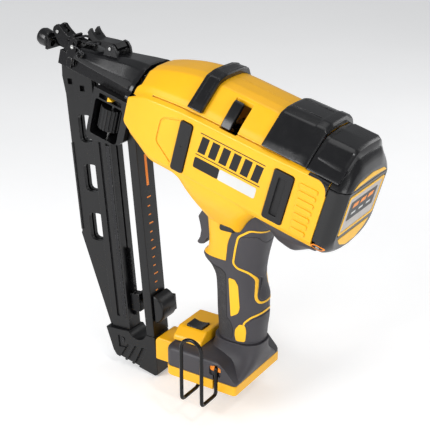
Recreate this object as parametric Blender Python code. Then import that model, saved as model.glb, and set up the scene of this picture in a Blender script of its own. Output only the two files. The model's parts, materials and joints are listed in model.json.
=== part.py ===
"""Cordless brad nailer, bare tool: body, nose, magazine, foot and the drive inside.

Sizes are in millimetres and become metres in make_object.  World frame: origin in the middle of the
foot's underside, +X to the back of the tool, +Y to the tool's right, +Z up.  The barrel is built in
BARREL (u back along the drive axis, y right, w up) and the magazine in MAGAZINE (lean forward at the top).
"""

import math

import bmesh
import bpy
from mathutils import Matrix, Vector

MM = 0.001
GAP = 0.3            # air between pieces that touch
WALL = 2.6           # moulded shell wall
RUNNING = 0.25       # clearance on a part that slides or turns

# Overall layout
BARREL_PITCH = math.radians(15.5)
BARREL_AT = (14.0, 0.0, 214.8)
MAGAZINE_LEAN = math.radians(4.5)
MAGAZINE_AT = (-110.0, 0.0, 110.0)
HALF_WIDTH = 41.5    # barrel, over the side panels
NOSE_END = -84.0     # front face of the yellow barrel
BARREL_END = 101.5   # rear face of the yellow barrel
REAR_FACE = BARREL_END + 15.0
CAP_HOOD = BARREL_END - 19.5    # where the cap's hood starts over the barrel
PANEL_BOTTOM = -29.5
BARREL_BOTTOM = -40.0

# Handle and foot
NECK_SPLIT = ((14.5, 112.0), (17.0, 130.0), (24.0, 144.0), (36.0, 155.0), (52.0, 164.0))
HANDLE_TOP = 112.0
COLLAR_Z = 38.0
FOOT_FRONT, FOOT_REAR, FOOT_HALF = -34.0, 38.0, 37.4
RIM_Z = 9.0
FOOT_SHOULDER_Z = 27.0
DOCK_FRONT, DOCK_REAR, DOCK_HALF, DOCK_DEPTH = -31.0, 28.0, 27.0, 13.0
DOCK_RAIL = 2.6      # lips that hold the pack in the rear part of the dock
DOCK_LIP_FRONT = -3.0
PEDESTAL_Z = 29.0
MODE_TOP_Z = 39.5
MODE_REAR = -4.0

# Magazine
PLATE_FRONT, PLATE_HALF = -38.5, 4.6
CHANNEL_FRONT, CHANNEL_REAR, CHANNEL_HALF = -11.5, 8.5, 8.0
SPINE_FRONT, SPINE_REAR, SPINE_HALF = 29.5, 38.5, 11.2
CAP_TOP, CAP_BOTTOM = -100.0, -140.0
BRAD_THICK = 1.6     # 16 gauge
PUSHER_TRAVEL = 96.0
PUSHER_LOW, PUSHER_TALL = CAP_TOP + 13.0, 66.0
CHANNEL_TOP = PUSHER_LOW + PUSHER_TALL + PUSHER_TRAVEL + 13.0

# Moving parts
TRIGGER_PIVOT = (-7.0, 0.0, 148.0)
TRIGGER_HALF = 7.5
TRIP_TRAVEL = 8.0
DRIVE_STROKE = 70.0
BORE = 2.3           # radius of the drive bore
FLYWHEEL_RADIUS = 14.0
FLYWHEEL_AT = (0.0, 0.0, -22.4)
DOOR_PIN = (-187.0, 0.0, 15.0)
LEVER_PIN = (-127.0, 0.0, 25.0)
HOOK_WIRE = 1.65
HOOK_X = (-2.0, 18.0)
HOOK_Y = -58.0
HOOK_LOW = -4.6
HOOK_SOCKET = 32.4   # how far from the middle the front leg enters the foot from below


def turn_y(angle, at):
    return Matrix.Translation(Vector(at) * MM) @ Matrix.Rotation(angle, 4, "Y")


WORLD = Matrix.Identity(4)
BARREL = turn_y(BARREL_PITCH, BARREL_AT)
MAGAZINE = turn_y(-MAGAZINE_LEAN, MAGAZINE_AT)


def clear_scene():
    for obj in list(bpy.data.objects):
        bpy.data.objects.remove(obj, do_unlink=True)


def material(name, colour, roughness, metallic=0.0):
    made = bpy.data.materials.get(name)
    if made:
        return made
    made = bpy.data.materials.new(name)
    made.use_nodes = True
    shader = made.node_tree.nodes["Principled BSDF"]
    shader.inputs["Base Color"].default_value = (*colour, 1.0)
    shader.inputs["Roughness"].default_value = roughness
    shader.inputs["Metallic"].default_value = metallic
    return made


def yellow_plastic():
    return material("yellow_plastic", (0.86, 0.55, 0.035), 0.38)


def grey_plastic():
    return material("grey_plastic", (0.072, 0.070, 0.074), 0.55)


def black_plastic():
    return material("black_plastic", (0.016, 0.016, 0.018), 0.45)


def black_rubber():
    return material("black_rubber", (0.02, 0.02, 0.021), 0.8)


def black_steel():
    return material("black_steel", (0.03, 0.03, 0.032), 0.38, 0.8)


def bright_steel():
    return material("bright_steel", (0.62, 0.62, 0.6), 0.28, 1.0)


def copper():
    return material("copper", (0.72, 0.33, 0.16), 0.35, 1.0)


def board_green():
    return material("board_green", (0.02, 0.12, 0.05), 0.5)


# ---------------------------------------------------------------- mesh makers


def box(lo, hi):
    bm = bmesh.new()
    bmesh.ops.create_cube(bm, size=1.0)
    for vert in bm.verts:
        for i in range(3):
            vert.co[i] = lo[i] if vert.co[i] < 0 else hi[i]
    return bm


def loft(rings):
    """A closed skin through rings that all hold the same number of points."""
    bm = bmesh.new()
    layers = [[bm.verts.new(p) for p in ring] for ring in rings]
    count = len(layers[0])
    for low, high in zip(layers, layers[1:]):
        for i in range(count):
            j = (i + 1) % count
            bm.faces.new((low[i], low[j], high[j], high[i]))
    bm.faces.new(layers[0][::-1])
    bm.faces.new(layers[-1])
    bmesh.ops.triangulate(bm, faces=bm.faces)
    return bm


def prism(points, lo, hi, along="y"):
    """A flat outline pushed along one axis; points hold the other two coordinates in xyz order."""
    place = {
        "x": lambda p, d: (d, p[0], p[1]),
        "y": lambda p, d: (p[0], d, p[1]),
        "z": lambda p, d: (p[0], p[1], d),
    }[along]
    bm = bmesh.new()
    low = [bm.verts.new(place(p, lo)) for p in points]
    high = [bm.verts.new(place(p, hi)) for p in points]
    count = len(points)
    for i in range(count):
        j = (i + 1) % count
        bm.faces.new((low[i], low[j], high[j], high[i]))
    bm.faces.new(low[::-1])
    bm.faces.new(high)
    return bm


def circle(centre, radius, sides, start=0.0):
    step = math.tau / sides
    return [
        (centre[0] + radius * math.cos(start + i * step), centre[1] + radius * math.sin(start + i * step))
        for i in range(sides)
    ]


def rod(centre, radius, lo, hi, along="y", sides=24):
    """A cylinder; centre holds the two coordinates across its axis."""
    return prism(circle(centre, radius, sides, math.pi / sides), lo, hi, along)


def wire(path, radius, sides=8):
    """A round wire swept along a path, its frame carried from point to point."""
    points = [Vector(p) for p in path]
    heads = []
    for i in range(len(points)):
        before = points[max(i - 1, 0)]
        after = points[min(i + 1, len(points) - 1)]
        heads.append((after - before).normalized())
    side = heads[0].orthogonal().normalized()
    rings = []
    for point, head in zip(points, heads):
        side = (side - head * side.dot(head)).normalized()
        other = head.cross(side)
        turn = [math.tau * k / sides for k in range(sides)]
        rings.append([point + radius * (math.cos(a) * side + math.sin(a) * other) for a in turn])
    return loft(rings)


def coil(centre, radius, thick, start, pitch, turns, along="x", per_turn=12, sides=6):
    """A helical spring; centre holds the two coordinates across its axis."""
    place = {
        "x": lambda d, p, q: (d, p, q),
        "y": lambda d, p, q: (p, d, q),
        "z": lambda d, p, q: (p, q, d),
    }[along]
    path = []
    for i in range(turns * per_turn + 1):
        a = math.tau * i / per_turn
        at = start + pitch * i / per_turn
        path.append(place(at, centre[0] + radius * math.cos(a), centre[1] + radius * math.sin(a)))
    return wire(path, thick, sides)


def bend(points, corner, steps=4):
    """The same path with each inner corner rounded by a short curve."""
    points = [Vector(p) for p in points]
    path = [points[0]]
    for before, here, after in zip(points, points[1:], points[2:]):
        start = here + (before - here).normalized() * corner
        end = here + (after - here).normalized() * corner
        for k in range(steps + 1):
            t = k / steps
            path.append(start * (1 - t) ** 2 + here * (2 * t * (1 - t)) + end * t**2)
    return path + [points[-1]]


def mirrored(half, at):
    """A full ring at one station from its right half, listed from top centre to bottom centre."""
    right = [Vector((p[2] if len(p) > 2 else at, p[0], p[1])) for p in half]
    left = [Vector((p.x, -p.y, p.z)) for p in reversed(right[1:-1])]
    return right + left


def squircle(x_front, x_rear, half, z, power=3.2, sides=24):
    """A rounded rectangle in plan, as one section of the handle."""
    middle, reach = (x_front + x_rear) / 2, (x_rear - x_front) / 2
    ring = []
    for i in range(sides):
        a = math.tau * (i + 0.5) / sides
        c, s = math.cos(a), math.sin(a)
        x = middle + reach * math.copysign(abs(c) ** (2 / power), c)
        y = half * math.copysign(abs(s) ** (2 / power), s)
        ring.append((x, y, z))
    return ring


def rounded(lo, hi, corner, steps=3):
    """A rectangle outline with round corners, as points for a prism."""
    centres = ((hi[0], hi[1], 0), (lo[0], hi[1], 1), (lo[0], lo[1], 2), (hi[0], lo[1], 3))
    points = []
    for x, y, quarter in centres:
        cx = x - corner if x == hi[0] else x + corner
        cy = y - corner if y == hi[1] else y + corner
        for k in range(steps + 1):
            a = math.pi / 2 * (quarter + k / steps)
            points.append((cx + corner * math.cos(a), cy + corner * math.sin(a)))
    return points


# ---------------------------------------------------------------- objects


def make_object(name, frame, bm, pivot=(0.0, 0.0, 0.0)):
    """An object in its frame, its origin at the pivot, the mesh turned from millimetres into metres."""
    pivot = Vector(pivot)
    for vert in bm.verts:
        vert.co = (vert.co - pivot) * MM
    bmesh.ops.recalc_face_normals(bm, faces=bm.faces)
    mesh = bpy.data.meshes.new(name)
    bm.to_mesh(mesh)
    bm.free()
    obj = bpy.data.objects.new(name, mesh)
    bpy.context.scene.collection.objects.link(obj)
    obj.matrix_world = frame @ Matrix.Translation(pivot * MM)
    return obj


def part(name, frame, paint, body, within=(), add=(), keep=(), cut=(), bevel=0.0, pivot=(0.0, 0.0, 0.0),
         smooth=False):
    """One piece: a body, kept within some shapes, joined to others, kept within more, then cut.

    A helper is a mesh in the piece's own frame, or a pair (frame, mesh).
    """
    obj = make_object(name, frame, body, pivot)
    obj.data.materials.append(paint)
    if smooth:
        for face in obj.data.polygons:
            face.use_smooth = True
    if bevel:
        rounding = obj.modifiers.new("edges", "BEVEL")
        rounding.width = bevel * MM
        rounding.segments = 2
        rounding.limit_method = "ANGLE"
        rounding.angle_limit = math.radians(40)
    helpers = [("INTERSECT", h) for h in within] + [("UNION", h) for h in add]
    helpers += [("INTERSECT", h) for h in keep] + [("DIFFERENCE", h) for h in cut]
    for number, (operation, helper) in enumerate(helpers):
        where, shape = helper if isinstance(helper, tuple) else (frame, helper)
        tool = make_object(f"{name}_tool_{number}", where, shape)
        tool.hide_render = True
        tool.display_type = "WIRE"
        boolean = obj.modifiers.new(operation.lower(), "BOOLEAN")
        boolean.operation = operation
        boolean.solver = "EXACT"
        boolean.object = tool
    return obj


def half_space(side, reach=400.0):
    """Everything on one side of the middle plane, short of it by half a gap."""
    if side < 0:
        return box((-reach, -reach, -reach), (reach, -GAP / 2, reach))
    return box((-reach, GAP / 2, -reach), (reach, reach, reach))


# ---------------------------------------------------------------- body shell


# One row per station along the barrel: u, top, half width, ledge above the side panel, panel bottom, bottom
BARREL_STATIONS = (
    (NOSE_END, 29.0, 36.0, 8.0, -15.0, -27.0),
    (-66.0, 37.0, 40.0, 16.0, -22.0, -34.0),
    (-48.0, 42.5, HALF_WIDTH, 18.5, PANEL_BOTTOM, BARREL_BOTTOM + 2),
    (-28.0, 46.0, HALF_WIDTH, 20.0, PANEL_BOTTOM, BARREL_BOTTOM),
    (0.0, 47.5, HALF_WIDTH, 20.5, PANEL_BOTTOM, BARREL_BOTTOM),
    (50.0, 47.5, HALF_WIDTH, 21.0, PANEL_BOTTOM, BARREL_BOTTOM),
    (CAP_HOOD, 47.0, HALF_WIDTH, 22.0, PANEL_BOTTOM, BARREL_BOTTOM),
    (BARREL_END, 46.0, HALF_WIDTH - 0.5, 21.0, PANEL_BOTTOM, BARREL_BOTTOM),
)


def barrel_half(top, half, ledge, panel, bottom, grow):
    scale = (half + grow) / HALF_WIDTH
    return [
        (0.0, top + grow),
        (12.0 * scale, top - 0.5 + grow),
        (20.5 * scale, top - 2.8 + grow),
        (34.0 * scale, ledge + 7.0 + 0.6 * grow),
        (37.0 * scale, ledge + 1.8 + 0.8 * grow),
        (half - 2.2 + grow, ledge + grow),
        (half + grow, ledge - 1.5 + 0.4 * grow),
        (half + grow, panel),
        (half - 4.0 + grow, panel - 5.5 - 0.4 * grow),
        (24.0 * scale, bottom + 1.5 - grow),
        (0.0, bottom - grow),
    ]


def barrel_skin(grow=0.0, stretch=0.0):
    """The barrel's skin, larger all round by grow and longer at both ends by stretch."""
    rings = []
    last = len(BARREL_STATIONS) - 1
    for i, (u, top, half, ledge, panel, bottom) in enumerate(BARREL_STATIONS):
        at = u - stretch if i == 0 else u + stretch if i == last else u
        rings.append(mirrored(barrel_half(top, half, ledge, panel, bottom, grow), at))
    return loft(rings)


# Sections of the neck and handle: z, front, rear, half width, squareness
HANDLE_SECTIONS = (
    (184.0, -10.0, 60.0, 30.0, 3.2),
    (166.0, -9.0, 64.0, 28.0, 3.2),
    (153.0, -7.5, 56.0, 23.0, 3.0),
    (141.0, -7.5, 49.0, 18.5, 3.0),
    (128.0, -7.5, 46.0, 16.8, 2.8),
    (118.0, -9.0, 44.0, 16.0, 2.6),
    (110.0, -14.5, 43.0, 15.8, 2.4),
    (102.0, -6.0, 42.0, 15.8, 2.4),
    (92.0, -1.0, 43.0, 15.8, 2.4),
    (78.0, 0.0, 46.0, 16.0, 2.4),
    (62.0, 0.5, 45.5, 16.0, 2.4),
    (50.0, 1.5, 44.0, 15.8, 2.4),
    (COLLAR_Z + GAP, 2.0, 43.0, 16.0, 2.4),
)


def handle_skin(grow=0.0, top=184.0, bottom=COLLAR_Z + GAP):
    rings = []
    for z, front, rear, half, power in HANDLE_SECTIONS:
        if bottom - 0.01 <= z <= top + 0.01:
            rings.append(squircle(front - grow, rear + grow, half + grow, z, power))
    return loft(rings)


def apron_skin(grow=0.0):
    """The yellow sides drawn down and in from the barrel's panels to the neck, in the barrel's frame."""
    rows = ((-24.0, -55.0, 66.0, 40.5), (-31.0, -50.0, 58.0, 40.3), (-38.0, -30.0, 50.0, 38.8),
            (-45.0, -22.5, 45.0, 36.0), (-52.0, -15.5, 41.0, 32.0), (-60.0, -7.0, 38.0, 26.5), (-67.0, -1.0, 36.0, 20.5))
    rings = []
    for i, (w, front, rear, half) in enumerate(rows):
        low = w + (0.0 if i < len(rows) - 1 or grow == 0 else -grow)
        rings.append(squircle(front - grow, rear + grow, half + grow, low, 5.0, 28))
    return loft(rings)


def horn_skin(grow=0.0):
    """The dark shell under the back of the barrel, over the web of the hand."""
    rows = ((-57.5, -43.0, 22.0), (-45.5, -52.0, 27.0), (-33.5, -60.0, 30.0), (-21.5, -61.0, 32.0),
            (-9.5, -54.0, 33.0), (2.7, -45.0, 34.0))
    rings = []
    for back, bottom, half in rows:
        section = [(0.0, -10.0), (half + 3 + grow, -10.0), (half + 4 + grow, -31.0), (half + grow, -39.85 + 0.1 * back),
                   (half * 0.62 + grow, bottom + 4 - grow), (half * 0.3, bottom + 0.8 - grow), (0.0, bottom - grow)]
        rings.append(mirrored(section, BARREL_END + back))
    return loft(rings)


def build_housing(side, name):
    """Half of the yellow shell: barrel and neck, hollow, open at the nose, the back and the grip."""
    outside = -1.0 if side < 0 else 1.0
    pad_depth = 1.6
    cuts = [
        barrel_skin(-WALL, 20.0),
        (WORLD, handle_skin(-WALL)),
        apron_skin(-WALL),
        prism([(-110, -12), (NOSE_END - 0.5, -12), (-79, -25), (-60, -31), (-57, -35), (-57, -90), (-110, -90)],
              -60, 60),
        box((CAP_HOOD - 0.2, -60, 22.6), (REAR_FACE + 13.5, 60, 70)),
        # front and rear pad seats
        prism(rounded((-28.6, -29.3), (-16.9, 13.8), 2.0), outside * (HALF_WIDTH - pad_depth), outside * 60),
        prism(rounded((57.7, -28.6), (75.3, 13.9), 2.0), outside * (HALF_WIDTH - pad_depth), outside * 60),
        # lock-off hole and trigger slot
        (WORLD, prism(rounded((11.0, 140.2), (25.0, 146.2), 2.4), outside * 6, outside * 40)),
        (WORLD, box((-30, -TRIGGER_HALF - GAP, 114.0), (8.0, TRIGGER_HALF + GAP, 152.0))),
        (WORLD, rod((TRIGGER_PIVOT[0], TRIGGER_PIVOT[2]), 1.5 + GAP, -10.2, 10.2, sides=12)),
    ]
    if side < 0:
        # pocket for the stall lever on the left slope
        cuts.append(prism([(-41.0, 21.6), (-35.0, 19.0), (-21.5, 34.0), (-22.5, 45), (-30, 48), (-46, 40)], 3.2, 18.6, "x"))
    return part(
        name, BARREL, yellow_plastic(), in_barrel(handle_skin()),
        within=[(WORLD, neck_region())],
        add=[apron_skin(), barrel_skin()],
        keep=[half_space(side)],
        cut=cuts,
    )


def in_barrel(bm):
    """A mesh drawn in world millimetres, carried into the barrel's frame."""
    place = BARREL.inverted()
    for vert in bm.verts:
        vert.co = (place @ (vert.co * MM)) / MM
    return bm


def neck_region():
    """The yellow neck: in front of the line that parts it from the dark grip."""
    last = NECK_SPLIT[-1][0]
    return prism([(-200, HANDLE_TOP)] + list(NECK_SPLIT) + [(last + 1.0, 190.0), (-200, 190.0)], -80, 80)


def build_grip(side, name):
    """Half of the dark shell: handle and horn, hollow, closed by the foot below."""
    return part(
        name, WORLD, grey_plastic(), handle_skin(0.0, top=184.0),
        add=[(BARREL, horn_skin())],
        cut=[
            (BARREL, barrel_skin(GAP, 3.0)),
            (BARREL, apron_skin(GAP)),
            handle_skin(-WALL, top=184.0),
            (BARREL, horn_skin(-WALL)),
            prism([(x + GAP, z) for x, z in NECK_SPLIT] + [(NECK_SPLIT[-1][0] + 2.0, 300), (-200, 300),
                  (-200, HANDLE_TOP - GAP), (NECK_SPLIT[0][0] + GAP, HANDLE_TOP - GAP)], -80, 80),
            prism(rounded((10.8, 140.0), (25.2, 146.4), 2.4), -40, 40),
        ],
        keep=[half_space(side)],
    )


def cap_half(top, half, ledge, panel, bottom, grow=0.0):
    scale = (half + grow) / 40.0
    return [
        (0.0, top + grow),
        (20.0 * scale, top - 1.6 + grow),
        (31.0 * scale, ledge + 0.45 * (top - ledge) + grow),
        (half - 1.5 + grow, ledge + grow),
        (half + grow, ledge - 3.0 + grow),
        (half + grow, panel),
        (half - 5.0 + grow, panel - 7.0 - grow),
        (half * 0.55, bottom + 2.0 - grow),
        (0.0, bottom - grow),
    ]


CAP_STATIONS = (
    (BARREL_END + GAP, 44.5, 40.0, 20.0, -30.0, -44.5),
    (REAR_FACE - 7.5, 41.0, 39.5, 20.0, -30.0, -43.0),
    (REAR_FACE - 3.0, 35.5, 37.0, 20.0, -28.5, -41.5),
    (REAR_FACE, 26.5, 33.0, 18.0, -25.5, -38.5),
)


def cap_skin(grow=0.0, stretch=0.0):
    rings = []
    for i, (u, *sizes) in enumerate(CAP_STATIONS):
        at = u - stretch if i == 0 else u - WALL if grow < 0 and i == 3 else u
        rings.append(mirrored(cap_half(*sizes, grow), at))
    return loft(rings)


def cap_hood(grow=0.0, stretch=0.0):
    """The part of the cap that reaches forward over the barrel, above the side panels."""
    rows = ((CAP_HOOD + 0.2, 46.5), (BARREL_END + 2.0, 44.5))
    rings = []
    for u, top in rows:
        at = u - stretch if u < 90 else u + 4
        rings.append(mirrored([(0.0, top + grow), (20.0, top - 1.6 + grow), (32.0, top - 13.0 + grow),
                               (38.5 + grow, 25.5 + grow), (40.0 + grow, 23.0), (38.0, 23.0), (20.0, 23.0),
                               (0.0, 23.0)], at))
    return loft(rings)


def build_rear_cap():
    part(
        "rear_cap", BARREL, grey_plastic(), cap_skin(),
        add=[cap_hood()],
        cut=[cap_skin(-WALL, 5.0), box((CAP_HOOD - 2, -36, 15), (REAR_FACE - 12, 36, 23.2)),
             hood_hollow(), (BARREL, horn_clearance()),
             box((REAR_FACE - 1.2, -30.8, -21.0), (REAR_FACE + 5, 30.8, 14.0))],
    )
    part(
        "rear_badge", BARREL, yellow_plastic(),
        box((REAR_FACE - 0.9, -30.4, -20.6), (REAR_FACE + 0.3, 30.4, 13.6)),
        bevel=0.4,
    )


def hood_hollow():
    rings = []
    for u in (CAP_HOOD - 12.0, BARREL_END + 6.0):
        rings.append(mirrored([(0.0, 42.0), (19.0, 40.5), (29.5, 30.0), (35.5, 23.0), (36.5, 18.0), (20.0, 18.0),
                               (0.0, 18.0)], u))
    return loft(rings)


def horn_clearance():
    """Room for the end of the grip's horn under the cap."""
    front, rear = BARREL_END - 11.5, BARREL_END + 3.1
    return prism([(front, -100), (rear, -100), (rear, -28), (front, -28)], -60, 60)


def build_guards():
    """The raised black strap and the black guard that ride on top of the barrel."""
    rings = []
    for u, lift in ((-27.5, 3.6), (-14.5, 4.2)):
        rings.append(saddle_ring(u, lift, 25.0))
    part("front_strap", BARREL, black_plastic(), loft(rings), cut=[barrel_skin(GAP, 5.0)])
    rings = []
    for u, lift in ((41.0, 2.2), (44.0, 3.4), (CAP_HOOD - 6.0, 4.4), (CAP_HOOD - 1.5, 3.4)):
        rings.append(saddle_ring(u, lift, 24.0))
    part("rear_guard", BARREL, black_plastic(), loft(rings), cut=[barrel_skin(GAP, 5.0)])


def saddle_ring(u, lift, foot):
    return mirrored([(0.0, 47.3 + lift), (13.0, 47.0 + lift), (21.5, 44.6 + lift), (37.0, 26.0 + lift),
                     (39.2 + 0.35 * lift, foot), (38.0, foot - 0.6), (20.0, 20.0), (0.0, 20.0)], u)


def build_pads():
    for side, hand in ((-1, "left"), (1, "right")):
        seat = side * (HALF_WIDTH - 1.3)
        face = side * (HALF_WIDTH + 1.5)
        lo, hi = min(seat, face), max(seat, face)
        part(f"front_pad_{hand}", BARREL, black_rubber(), prism(rounded((-28.3, -29.0), (-17.2, 13.5), 1.8), lo, hi))
        groove = side * (HALF_WIDTH + 0.5)
        part(f"rear_pad_{hand}", BARREL, black_rubber(), prism(rounded((58.0, -28.3), (75.0, 13.6), 1.8), lo, hi),
             cut=[prism(rounded((63.5, -23.0), (69.5, 8.5), 1.0), min(groove, side * 60), max(groove, side * 60))])


def build_stall_lever():
    """A small rocker in a pocket on the left slope, on a pin along the barrel."""
    blade = [(-39.2, 22.6), (-36.8, 21.4), (-25.4, 36.6), (-23.6, 39.8), (-26.0, 41.8), (-29.0, 39.8), (-36.6, 29.0)]
    part("stall_lever", BARREL, black_plastic(), prism(blade, 4.2, 12.4, "x"), bevel=0.5, pivot=(8.3, -26.2, 39.2))


# ---------------------------------------------------------------- nose


def cover_ring(u, top, flat, shoulder, drop, half, foot, side_low, grow=0.0):
    return mirrored([(0.0, top + grow), (flat + 0.4 * grow, top + grow), (shoulder + 0.8 * grow, top - drop + 0.6 * grow),
                     (half + grow, foot), (half + grow, side_low), (0.0, side_low)], u)


def cover_rows(grow):
    low = 4.0 if grow == 0 else -4.0
    rows = (
        (-158.0, 13.0, 7.0, 12.5, 1.6, 16.0, 8.0),
        (-140.0, 16.6, 8.0, 15.0, 2.4, 18.2, 9.5),
        (-120.0, 20.8, 8.5, 16.0, 3.4, 19.4, 10.5),
        (-104.5, 24.4, 9.0, 17.0, 4.4, 21.0, 12.0),
        (-103.2, 24.8, 9.0, 18.0, 4.6, 32.0, 12.6),
        (-96.0, 28.4, 10.5, 21.0, 5.5, 33.0, 13.6),
        (NOSE_END - GAP, 32.0, 12.0, 24.0, 6.5, 36.0, 13.0),
    )
    rings = []
    for i, (u, top, flat, shoulder, drop, half, foot) in enumerate(rows):
        at = u
        if grow < 0:
            at = u + WALL if i in (0, 3, 4) else u + 6.0 if i == len(rows) - 1 else u
        rings.append(cover_ring(at, top, flat, shoulder, drop, half, foot, low, grow))
    return rings


def build_nose():
    """The steel nose, its cover, the jam door and its latch."""
    top = 3.0
    front, back = -178.0, -98.0
    cheeks = [
        prism([(-168.5, 3.0), (-168.0, 15.0), (-164.0, 20.0), (-159.4, 19.0), (-159.4, -4.0), (-165.0, -4.0)], lo, hi)
        for lo, hi in ((-13.0, -9.5), (13.2, 15.4))
    ]
    part(
        "nosepiece", BARREL, black_steel(), box((front, -9.8, -9.5), (back, 9.8, top)),
        add=cheeks + [
            box((-166.0, -14.0, -6.5), (-161.0, 14.0, 1.8)),
            prism([(-177.8, 1.0), (-172.0, 1.0), (-176.0, 9.0), (-182.6, 17.6), (-187.0, 19.2), (-190.8, 16.8),
                   (-190.6, 12.6), (-185.6, 9.6)], -2.2, 2.2),
        ],
        cut=[
            rod((0.0, 0.0), BORE, front - 10, back + 10, "x", 12),
            box((front + 6, -BRAD_THICK / 2 - GAP, -30), (-112.0, BRAD_THICK / 2 + GAP, 0)),
            rod((DOOR_PIN[0], DOOR_PIN[2]), 1.5 + RUNNING, -20, 20),
            rod((-162.5, 15.0), 1.6, -30, 30, "y", 12),
        ],
    )
    part("door_pin", BARREL, bright_steel(), rod((DOOR_PIN[0], DOOR_PIN[2]), 1.5, -6.4, 6.4, sides=12),
         smooth=True)
    side = [(-192.6, 14.4), (-192.0, 17.6), (-189.6, 20.4), (-186.6, 21.2), (-181.6, 18.0), (-176.0, 15.6),
            (-172.0, 15.6), (-170.8, 18.8), (-168.8, 18.8), (-168.4, 15.6), (-160.6, 15.6), (-163.5, top + GAP),
            (-176.0, top + GAP), (-184.0, 5.2)]
    part(
        "nose_door", BARREL, black_steel(), prism(side, -5.6, 5.6),
        add=[box((-175.0, -9.1, top + GAP), (-163.0, 9.1, 13.0))],
        cut=[rod((DOOR_PIN[0], DOOR_PIN[2]), 1.5 + RUNNING, -20, 20, sides=12),
             prism([(-200, -5), (-170.4, -5), (-173.4, 8.6), (-179.4, 17.4), (-182.0, 30.0), (-200, 30.0)], -2.5, 2.5),
             rod((0.0, 0.0), BORE, -200, -90, "x", 12)],
        pivot=DOOR_PIN,
    )
    part(
        "nose_cover", BARREL, black_plastic(), loft(cover_rows(0.0)),
        add=[prism([(-133.0, 15.6), (-131.0, 25.0), (-128.5, 28.4), (-124.5, 28.2), (-121.0, 25.0),
                    (-118.0, 18.6)], lo, hi) for lo, hi in ((-11.0, -8.6), (8.6, 11.0))],
        cut=[loft(cover_rows(-2.0)), box((-170.0, -14.2, -6.0), (-150.0, 14.2, 11.0)), rod((LEVER_PIN[0], LEVER_PIN[2]), 1.6, -20, 20, sides=12)],
    )
    lever = [(-155.5, 27.4), (-153.0, 23.4), (-146.0, 21.0), (-132.0, 21.4), (-129.0, 21.6), (-124.0, 22.4),
             (-122.6, 26.0), (-126.0, 28.8), (-133.0, 27.6), (-145.0, 25.0), (-150.5, 28.2), (-153.6, 31.4)]
    part("latch_lever", BARREL, grey_plastic(), prism(lever, -6.4, 6.4),
         cut=[rod((LEVER_PIN[0], LEVER_PIN[2]), 1.5 + RUNNING, -20, 20, sides=12),
              box((-160.0, -3.0, 20.0), (-148.0, 3.0, 40.0)),
              rod((-141.0, 23.2), 1.1 + RUNNING, -20, 20, sides=10)],
         pivot=LEVER_PIN)
    part("latch_pin", BARREL, bright_steel(), rod((LEVER_PIN[0], LEVER_PIN[2]), 1.3, -11.8, 11.8, sides=12),
         smooth=True)
    loop = bend([(-141.0, -5.8, 23.2), (-141.0, -7.8, 23.2), (-150.0, -7.8, 19.6), (-162.0, -7.8, 17.2),
                 (-166.4, -7.0, 17.0), (-166.4, 7.0, 17.0), (-162.0, 7.8, 17.2), (-150.0, 7.8, 19.6),
                 (-141.0, 7.8, 23.2), (-141.0, 5.8, 23.2)], 1.6, 2)
    part("latch_bail", BARREL, black_steel(), wire(loop, 1.1, 6), pivot=(-141.0, 0.0, 23.2), smooth=True)


def build_contact_trip():
    """The safety arm round the nose tip, with its soft pad."""
    part(
        "contact_trip", BARREL, black_steel(), box((-196.8, -6.4, -5.0), (-194.4, 12.8, 5.4)),
        add=[box((-196.8, 10.4, -5.0), (-176.0, 12.8, 9.4)), box((-177.0, 10.4, 5.4), (-150.0 + TRIP_TRAVEL, 12.8, 9.4))],
        cut=[rod((0.0, 0.0), 3.2, -220, -190, "x", 16)],
    )
    rings = []
    for u, radius in ((-197.1, 6.6), (-198.4, 7.6), (-204.4, 8.0), (-207.4, 6.8), (-208.6, 5.0)):
        rings.append([(u, y, w + 2.2) for y, w in circle((0.0, 0.0), radius, 20)])
    part("no_mar_pad", BARREL, black_rubber(), loft(rings[::-1]), cut=[rod((0.0, 0.0), 2.8, -220, -190, "x", 16)],
         smooth=True)


def build_depth_adjust():
    """The frame under the nose cover, with the thumb wheel and its pointer."""
    lo, hi, half = -131.5, -92.5, 17.0
    outline = [(lo, -9.8), (lo, -55.0), (lo + 4, -58.0), (-112.0, -55.0), (-97.0, -50.0), (hi, -45.0), (hi, -12.5),
               (hi - 4.0, -9.8)]
    part(
        "depth_frame", BARREL, black_plastic(), prism(outline, -half, half),
        cut=[
            prism(rounded((-128.0, -51.5), (-99.0, -18.5), 2.5), -40, 5.5),
            prism(rounded((-125.0, -17.0), (-101.0, -12.6), 1.0), -40, -12.0),
            rod((-115.0, -6.5), 1.5 + RUNNING, -60, -12.0, "z", 12),
        ],
    )
    part("depth_wheel", BARREL, black_rubber(), prism(knurl((-115.0, -6.5), 11.0, 10.2, 20), -44.0, -24.0, "z"),
         cut=[rod((-115.0, -6.5), 1.5 + RUNNING, -60, 0, "z", 12)], pivot=(-115.0, -6.5, -34.0))
    part("depth_screw", BARREL, bright_steel(), rod((-115.0, -6.5), 1.5, -54.0, -13.5, "z", 12), smooth=True)
    part("depth_pointer", BARREL, yellow_plastic(),
         prism([(-115.6, -16.6), (-110.4, -16.6), (-110.4, -13.0), (-113.0, -12.9), (-115.6, -13.0)], -17.9, -12.4))


def knurl(centre, outer, inner, teeth):
    points = []
    for i in range(teeth):
        for k, radius in ((0.0, outer), (0.5, outer), (0.62, inner), (0.88, inner)):
            a = math.tau * (i + k) / teeth
            points.append((centre[0] + radius * math.cos(a), centre[1] + radius * math.sin(a)))
    return points


# ---------------------------------------------------------------- magazine


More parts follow.
